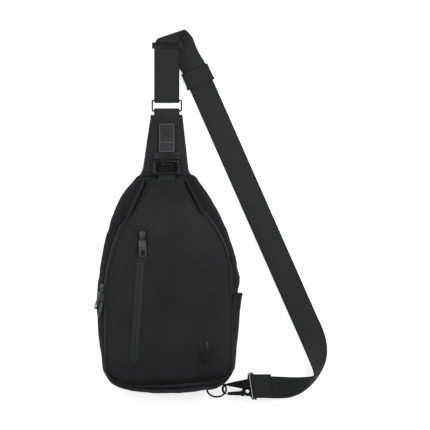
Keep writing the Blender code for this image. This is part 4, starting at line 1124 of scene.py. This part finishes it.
rows = []
for step in range(NECK_STEPS + 1):
    y = mix(NECK_TUCK, NECK_TOP[2] + 2.0, step / NECK_STEPS)
    left, right = neck_sides(y)
    thin = 1.0 - 0.45 * ease(y, NECK_TOP[2] - 7.0, NECK_TOP[2])
    row = []
    for turn_step in range(NECK_SIDES):
        turn = 2.0 * math.pi * turn_step / NECK_SIDES
        x = mix(left + 1.0, right - 1.0, 0.5 + 0.5 * drawn_out(math.cos(turn), 0.35))
        row.append(Vector((x, y, RING_Z + NECK_HALF * drawn_out(math.sin(turn), 0.6) * thin)))
    rows.append(row)
neck = piece(stuffed(rows, (NECK_X, 175.0, RING_Z)), "neck_pad", (NECK_NYLON,), None)
inflate(neck, 2.4, 3.0, 1.6)
reach_low = {}
reach_high = {}
for vert in neck.data.vertices:
    band = round(vert.co.y / (NECK_BAND * MM))
    reach_low[band] = min(reach_low.get(band, 0.0), vert.co.x / MM)
    reach_high[band] = max(reach_high.get(band, 0.0), vert.co.x / MM)
for vert in neck.data.vertices:
    x, y, z = vert.co / MM
    band = math.floor(y / NECK_BAND)
    share = y / NECK_BAND - band
    low = between_bands(reach_low, band, share)
    high = between_bands(reach_high, band, share)
    left, right = neck_sides(y)
    x = mix(left, right, (x - low) / (high - low))
    edge = min(x - left, right - x, NECK_TOP[2] - y)
    z -= 0.9 * math.exp(-((edge - 4.6) / 1.3) ** 2) * (1.0 if z > RING_Z else -1.0)
    z += 0.35 * ripple(x, y, 17.0, 2.2)
    vert.co = mm((x, y, min(NECK_Z[1], max(NECK_Z[0], z))))
neck.data.polygons.foreach_set("use_smooth", [True] * len(neck.data.polygons))
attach(neck, "bag")
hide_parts("neck_yoke")

loop_half = HALF_WEB + 0.2
loop_stations = [((NECK_X, 209.0, RING_Z - RING_TURN), (loop_half, 0.0, 0.0))]
for step in range(11):
    turn = math.radians(180.0 * step / 10 - 90.0)
    centre = (NECK_X, LOW_BAR + RING_TURN * math.cos(turn), RING_Z + RING_TURN * math.sin(turn))
    loop_stations.append((centre, (loop_half, 0.0, 0.0)))
loop_stations.append(((NECK_X, 209.0, RING_Z + RING_TURN), (loop_half, 0.0, 0.0)))
ribbon("neck_ring_loop", smooth_rows(ribbon_rows(loop_stations), 1, 2, False), (STRAP_WEB,), "bag",
       ("neck_loop",))


def patch_z(y):
    """Height of the neck patch, whose lower end lies on the hook plate."""
    return 18.2 + 2.5 * (1.0 - ease(y, PATCH_Y[0] + 1.5, PATCH_Y[0] + 8.0))


patch_rows = []
PATCH_MIDDLE = 0.5 * (PATCH_X[0] + PATCH_X[1])
PATCH_HALF = 0.5 * (PATCH_X[1] - PATCH_X[0])
for step in range(19):
    y = mix(PATCH_Y[0] + 0.5, PATCH_Y[1] - 0.5, step / 18)
    row = []
    for part in range(11):
        x = PATCH_MIDDLE + (part / 5.0 - 1.0) * (PATCH_HALF - 0.3)
        edge = min(PATCH_HALF - abs(x - PATCH_MIDDLE), y - PATCH_Y[0], PATCH_Y[1] - y)
        row.append(Vector((x, y, patch_z(y) + 0.45 * ease(edge, 0.0, 3.0) + 0.12 * ripple(x, y, 5.0, 4.4))))
    patch_rows.append(row)
ribbon("neck_patch", patch_rows, (PATCH_WEB,), "bag", ("clasp_webbing",), 1.2)
PATCH_THREAD = knitted("grey_thread", "#55585a", "#8e9294", 0.5, 0.6)
PATCH_HEM = PATCH_Y[0] + 2.0
BOX_LOW = 178.5
BOX_HIGH = PATCH_Y[1] - 2.2
box_left = PATCH_X[0] + 2.0
box_right = PATCH_X[1] - 2.0
STITCH_RISE = 1.1


def patch_seam(work, start, end):
    """Stitches on the neck patch from one point to another."""
    path = [Vector(start).lerp(Vector(end), step / 8) for step in range(9)]
    raised = [(spot.x, spot.y, patch_z(spot.y) + STITCH_RISE) for spot in path]
    stitch_row(work, straight(raised, UP), 2.4, 2.0, 0.8)


work = bmesh.new()
for start, end in (
    ((box_left, BOX_LOW), (box_left, BOX_HIGH)), ((box_right, BOX_LOW), (box_right, BOX_HIGH)),
    ((box_left, BOX_LOW), (box_right, BOX_LOW)), ((box_left, BOX_HIGH), (box_right, BOX_HIGH)),
    ((box_left, PATCH_HEM), (box_left, BOX_LOW)), ((box_right, PATCH_HEM), (box_right, BOX_LOW)),
    ((box_left, PATCH_HEM), (box_right, PATCH_HEM)),
):
    patch_seam(work, start, end)
piece(work, "neck_patch_stitches", (PATCH_THREAD,), "bag")
work = bmesh.new()
patch_seam(work, (box_left, BOX_LOW), (box_right, BOX_HIGH))
patch_seam(work, (box_left, BOX_HIGH), (box_right, BOX_LOW))
piece(work, "neck_patch_cross", (THREAD,), "bag")

rounded_copy("neck_ring", "neck_ring_bar", 0.35, (BLACK_METAL,), "bag")
rounded_copy("hook_plate", "clasp_hook_plate", 0.6, (SATIN_METAL,), "bag", 3)
rounded_copy("hook_tongue", "clasp_hook_tongue", 0.3, (SATIN_METAL,), "bag", 3)
rounded_copy("clasp_frame", "clasp_loop", 1.0, (SATIN_METAL,), "clasp", 3)
tab_half = (0.5 * TAB_WIDTH, 0.0, 0.0)
TAB_PATH = ((130.5, 24.2), (132.4, 24.8), (134.4, 23.6), (136.6, 20.8), (139.0, 19.0), (141.0, 18.7))
# The strap end inside the clasp opening wears the darker webbing, painted shade where the opening lies in
# shadow.
LINER_PATH = ((141.4, 18.7), (144.0, 19.0), (147.0, 20.2), (149.0, 21.0))
for name, paint_web, run, stands_for in (("clasp_strap", STRAP_WEB, TAB_PATH, ("clasp_tab",)),
                                         ("clasp_strap_end", SHADE_TAB_WEB, LINER_PATH, ())):
    tab_rows = ribbon_rows([((NECK_X, y, z), tab_half) for y, z in run])
    ribbon(name, smooth_rows(tab_rows, 1, 3, False), (paint_web,), "flap", stands_for)

# Keeper sleeve and adjuster on the strap
keeper_side = Vector((-RUN_WAY.y, RUN_WAY.x))
KEEPER_HALF = (17.9, 2.3)
KEEPER_STATIONS = ((-10.8, -0.3), (-9.8, -0.1), (0.0, 0.1), (6.5, 0.3), (9.0, 1.3), (10.4, 1.4), (11.0, 0.9))
sleeve_rows = []
for along, grow in KEEPER_STATIONS:
    row = []
    for step in range(33):
        turn = 2.0 * math.pi * step / 32
        wide = drawn_out(math.cos(turn), 0.25) * (KEEPER_HALF[0] + 0.6 * grow)
        tall = drawn_out(math.sin(turn), 0.7) * (KEEPER_HALF[1] + grow)
        spot = KEEPER_AT + RUN_WAY * along + keeper_side * wide
        row.append(Vector((spot.x, spot.y, max(0.3, RUN_Z + tall))))
    sleeve_rows.append(row)
work = bmesh.new()
loft(work, sleeve_rows, False)
bmesh.ops.remove_doubles(work, verts=work.verts, dist=0.005 * MM)
face_out(work, (KEEPER_AT.x, KEEPER_AT.y, RUN_Z))
piece(work, "keeper_sleeve", (STRAP_WEB,), "strap_keeper", ("keeper",), wall=0.9, side=-1.0)
rounded_copy("adjuster", "strap_slider_bar", 1.2, (SATIN_METAL,), "strap_adjuster", 3)

# Snap clip, its gate and pin, the round ring and its tab
rounded_copy("clip_body", "clip_hook", 0.75, (BLACK_METAL,), "bag", 3)
rounded_copy("clip_gate", "clip_lever", 0.45, (BLACK_METAL,), "gate", 3)
rounded_copy("clip_pin", "clip_rivet", 0.2, (BLACK_METAL,), "bag")
RING_CENTRE = Vector((60.75, -130.6, CLIP_Z))
RING_MAJOR = 12.0
RING_MINOR = 1.2
RING_TILT = math.radians(40.0)
ring_place = Matrix.Translation(mm(RING_CENTRE)) @ Matrix.Rotation(-RING_TILT, 4, 'X')
work = bmesh.new()
section_place = Matrix.Translation(mm((RING_MAJOR, 0.0, 0.0))) @ Matrix.Rotation(0.5 * math.pi, 4, 'X')
section = bmesh.ops.create_circle(work, segments=16, radius=RING_MINOR * MM, matrix=section_place)
edges = list({edge for vert in section["verts"] for edge in vert.link_edges})
bmesh.ops.spin(work, geom=section["verts"] + edges, cent=(0.0, 0.0, 0.0), axis=UP, angle=2.0 * math.pi,
               steps=72, use_merge=True)
bmesh.ops.remove_doubles(work, verts=work.verts, dist=0.001 * MM)
bmesh.ops.recalc_face_normals(work, faces=work.faces)
bmesh.ops.transform(work, matrix=ring_place, verts=work.verts)
piece(work, "corner_ring", (BLACK_METAL,), "ring", ("bottom_ring",))
ring_low = RING_CENTRE + Vector((0.0, RING_MAJOR * math.cos(RING_TILT), -RING_MAJOR * math.sin(RING_TILT)))
RING_TAB_TURNS = (
    (20, 3.6), (45, 2.7), (75, 2.4), (110, 2.4), (145, 2.4), (180, 2.4), (215, 2.4), (250, 2.4), (285, 2.4),
    (315, 2.7), (340, 3.6),
)
tab_rows = []
for degrees, radius in RING_TAB_TURNS:
    turn = math.radians(degrees)
    spot = ring_low + Vector((0.0, radius * math.cos(turn), radius * math.sin(turn)))
    tab_rows.append([spot + Vector((part * 3.4, 0.0, 0.0)) for part in (-1.0, -0.5, 0.0, 0.5, 1.0)])
ribbon("corner_ring_tab", smooth_rows(tab_rows, 1, 2, False), (STRAP_WEB,), "bag",
       ("ring_tab",), 0.9)
rounded_copy("badge_plate", "plain_badge", 0.35, (SATIN_METAL,), "bag", 3)

# Side slip pocket and its rolled hem; a column is (inset, share of the way to the ridge, height, bulge)
POCKET_TOP = -12.5
POCKET_END = -106.0
POCKET_COLUMNS = (
    (8.5, 0.0, 9.0, 0.1), (4.5, 0.0, 14.0, 0.6), (0.0, 0.0, 24.0, 1.0), (0.0, 0.14, 32.0, 1.0),
    (0.0, 0.5, 40.0, 0.5), (0.0, 0.75, 45.0, 0.2), (0.0, 0.93, 47.3, 0.1),
)


def right_x(ring, y):
    """Right-hand edge of a closed outline at a height along the bag."""
    best = -1000.0
    for index, end in enumerate(ring):
        start = ring[index - 1]
        if (start.y - y) * (end.y - y) <= 0.0 and abs(start.y - end.y) > 1e-9:
            best = max(best, mix(start.x, end.x, (y - start.y) / (end.y - start.y)))
    return best


pocket_rings = [[outer.lerp(inner, way) for outer, inner in zip(inset(SIDE, distance), RIDGE)]
                for distance, way, _, _ in POCKET_COLUMNS]


def pocket_row(y, extra=0.0):
    """Points across the slip pocket at a height along the bag."""
    bulge = 4.4 * ease(y, POCKET_END, POCKET_TOP)
    row = []
    for ring, (_, way, height, swell) in zip(pocket_rings, POCKET_COLUMNS):
        x = right_x(ring, y) + 1.6 + bulge * swell + extra
        row.append(Vector((x, y, height + 0.5 * bulge * (1.0 - swell) * way)))
    return row


pocket_rows = [pocket_row(mix(POCKET_END, POCKET_TOP, step / 14)) for step in range(15)]
pocket_rows = smooth_rows(pocket_rows, 5, 3, False)
for level, row in enumerate(pocket_rows):
    slack = math.sin(math.pi * level / (len(pocket_rows) - 1))
    for point in row:
        point.x += slack * (0.9 * ripple(point.y, point.z, 22.0, 8.1) - 0.5)
piece(skin(pocket_rows, False, (0.0, -60.0, 25.0)), "slip_pocket", (SIDE_NYLON, LINING_CLOTH), "bag",
      ("side_pocket",), wall=1.4, side=-1.0)
hem_line = curve_through(pocket_row(POCKET_TOP, 0.1), 5, False)
hem_rows = []
for place, point in enumerate(hem_line):
    along = hem_line[min(place + 1, len(hem_line) - 1)] - hem_line[max(place - 1, 0)]
    out = along.cross(Vector((0.0, 1.0, 0.0))).normalized()
    if out.x < 0.0:
        out = -out
    row = []
    for step in range(13):
        turn = 2.0 * math.pi * step / 12
        row.append(point + Vector((0.0, 1.3, 0.0)) - out * 0.7 + out * (1.25 * math.cos(turn))
                   + Vector((0.0, 1.7 * math.sin(turn), 0.0)))
    hem_rows.append(row)
work = bmesh.new()
loft(work, hem_rows, False)
bmesh.ops.remove_doubles(work, verts=work.verts, dist=0.005 * MM)
for rim in (hem_rows[0], hem_rows[-1]):
    middle = mm(sum(rim[:-1], Vector()) / 12.0)
    cap(work, [edge for edge in work.edges if edge.is_boundary
               and ((edge.verts[0].co + edge.verts[1].co) * 0.5 - middle).length < 4.0 * MM])
bmesh.ops.recalc_face_normals(work, faces=work.faces)
piece(work, "slip_pocket_hem", (SIDE_NYLON,), "bag", ("pocket_hem",))

# Back: sewn panel the bag rests on, the foam behind it and the inner sleeve
BACK_SHARES = (0.04, 0.25, 0.45, 0.65, 0.82, 0.93, 1.0)
BACK_CHANNELS = (-44.0, 0.0, 44.0)


def back_pad(name, distance, low, high, paints, body, source, channels):
    """Flat stuffed pad inside the outline, crowned on both faces, with sewn channels along it."""
    outline = inset(SIDE, distance)
    rows = []
    for face in (-1.0, 1.0):
        for share in BACK_SHARES if face < 0.0 else BACK_SHARES[::-1]:
            row = []
            for spot in outline:
                x, y = spot.x * share, spot.y * share
                puff = 1.0 - 0.75 * share ** 6
                for line in channels:
                    puff -= 0.5 * math.exp(-((x - line) / 3.0) ** 2)
                half = 0.5 * (high - low) * max(0.2, puff)
                row.append(Vector((x, y, 0.5 * (low + high) + face * half)))
            rows.append(row)
    work = stuffed(smooth_rows(rows, 4, 3, True), (0.0, 0.0, 0.5 * (low + high)))
    made = piece(work, name, paints, body, (source,))


back_pad("back_cushion", 17.0, 0.0, 5.0, (BACK_MESH,), "bag", "back_panel", BACK_CHANNELS)
back_pad("back_foam", 20.5, 5.4, 9.0, (FOAM,), "bag", "back_pad", ())
sleeve_rows = []
for step in range(15):
    y = mix(-85.0, 30.0, step / 14)
    row = []
    for part in range(11):
        x = mix(-45.0, 45.0, part / 10)
        edge = min(45.0 - abs(x), y + 85.0)
        row.append(Vector((x, y, 9.8 + 1.0 * ease(edge, 0.0, 9.0) + 0.3 * ripple(x, y, 24.0, 9.3))))
    sleeve_rows.append(row)
work = skin(smooth_rows(sleeve_rows, 2, 2, False), False, UNDER_FLOOR)
piece(work, "slip_sleeve", (LINING_CLOTH,), "bag", ("inner_sleeve",), wall=0.7, side=-1.0)
lining_rows = []
for share in (1.0, 0.85, 0.7, 0.5, 0.3, 0.1):
    row = []
    for spot in RIDGE:
        x = spot.x * share * 0.84
        y = spot.y * share * (0.5 if spot.y > 0.0 else 0.84)
        row.append(Vector((x, y, front_z(x, y) - 9.0 + 0.5 * ripple(x, y, 26.0, 6.0))))
    lining_rows.append(row)
work = bmesh.new()
cap(work, loft(work, smooth_rows(lining_rows, 3, 3, True), True))
face_out(work, UNDER_FLOOR)
piece(work, "pocket_bag_lining", (LINING_CLOTH,), "bag", ("pocket_lining",), wall=0.8, side=-1.0)

# Topstitching on the strap
work = bmesh.new()
for y in (253.0, 250.0):
    stitch_row(work, straight([point + UP * 0.85 for point in level_row(y, FRONT_Z)], UP), 2.6, 2.0, 0.7)
for share in (0.88, 0.97):
    stitch_row(work, straight([point + UP * 0.9 for point in tail_row(share)], UP), 2.2, 2.0, 0.8)
piece(work, "strap_stitches", (THREAD,), "bag")

# Floor and soft studio light
FLOOR_WHITE, floor_tree, floor_shader = paint("pale_floor", Roughness=0.9, Specular_IOR_Level=0.1,
                                              Emission_Color=(1.0, 1.0, 1.0, 1.0), Emission_Strength=0.7)
floor_place = node(floor_tree, "TexCoord").outputs["Object"]
floor_cloud = node(floor_tree, "TexNoise", {"Vector": floor_place, "Scale": 3.0, "Detail": 2.0})
floor_tones = {0: floor_cloud.outputs["Fac"], 6: linear("#fbfbfb"), 7: linear("#ffffff")}
floor_mix = node(floor_tree, "Mix", floor_tones, data_type='RGBA')
drive(floor_tree, floor_shader, Base_Color=floor_mix.outputs[2])
work = bmesh.new()
bmesh.ops.create_grid(work, x_segments=4, y_segments=4, size=4.0)
bmesh.ops.translate(work, vec=mm((60.0, 90.0, -0.3)), verts=work.verts)
floor_mesh = bpy.data.meshes.new("floor")
work.to_mesh(floor_mesh)
work.free()
floor_mesh.materials.append(FLOOR_WHITE)
floor = bpy.data.objects.new("floor", floor_mesh)
SCENE.collection.objects.link(floor)
world = bpy.data.worlds.new("studio")
world.use_nodes = True
world.node_tree.nodes["Background"].inputs["Color"].default_value = (1.0, 1.0, 1.0, 1.0)
world.node_tree.nodes["Background"].inputs["Strength"].default_value = 0.2
SCENE.world = world
SCENE.view_settings.view_transform = 'Standard'
for light_name, place, size, power in (
    ("left_softbox", (-300.0, 110.0, 420.0), 450.0, 1.1),
    ("right_softbox", (400.0, 260.0, 430.0), 450.0, 2.0),
):
    lamp_data = bpy.data.lights.new(light_name, 'AREA')
    lamp_data.size = size * MM
    lamp_data.energy = power
    lamp = bpy.data.objects.new(light_name, lamp_data)
    lamp.visible_camera = False
    lamp.location = mm(place)
    lamp.rotation_euler = (mm((40.0, 60.0, 0.0)) - lamp.location).to_track_quat('-Z', 'Y').to_euler()
    SCENE.collection.objects.link(lamp)
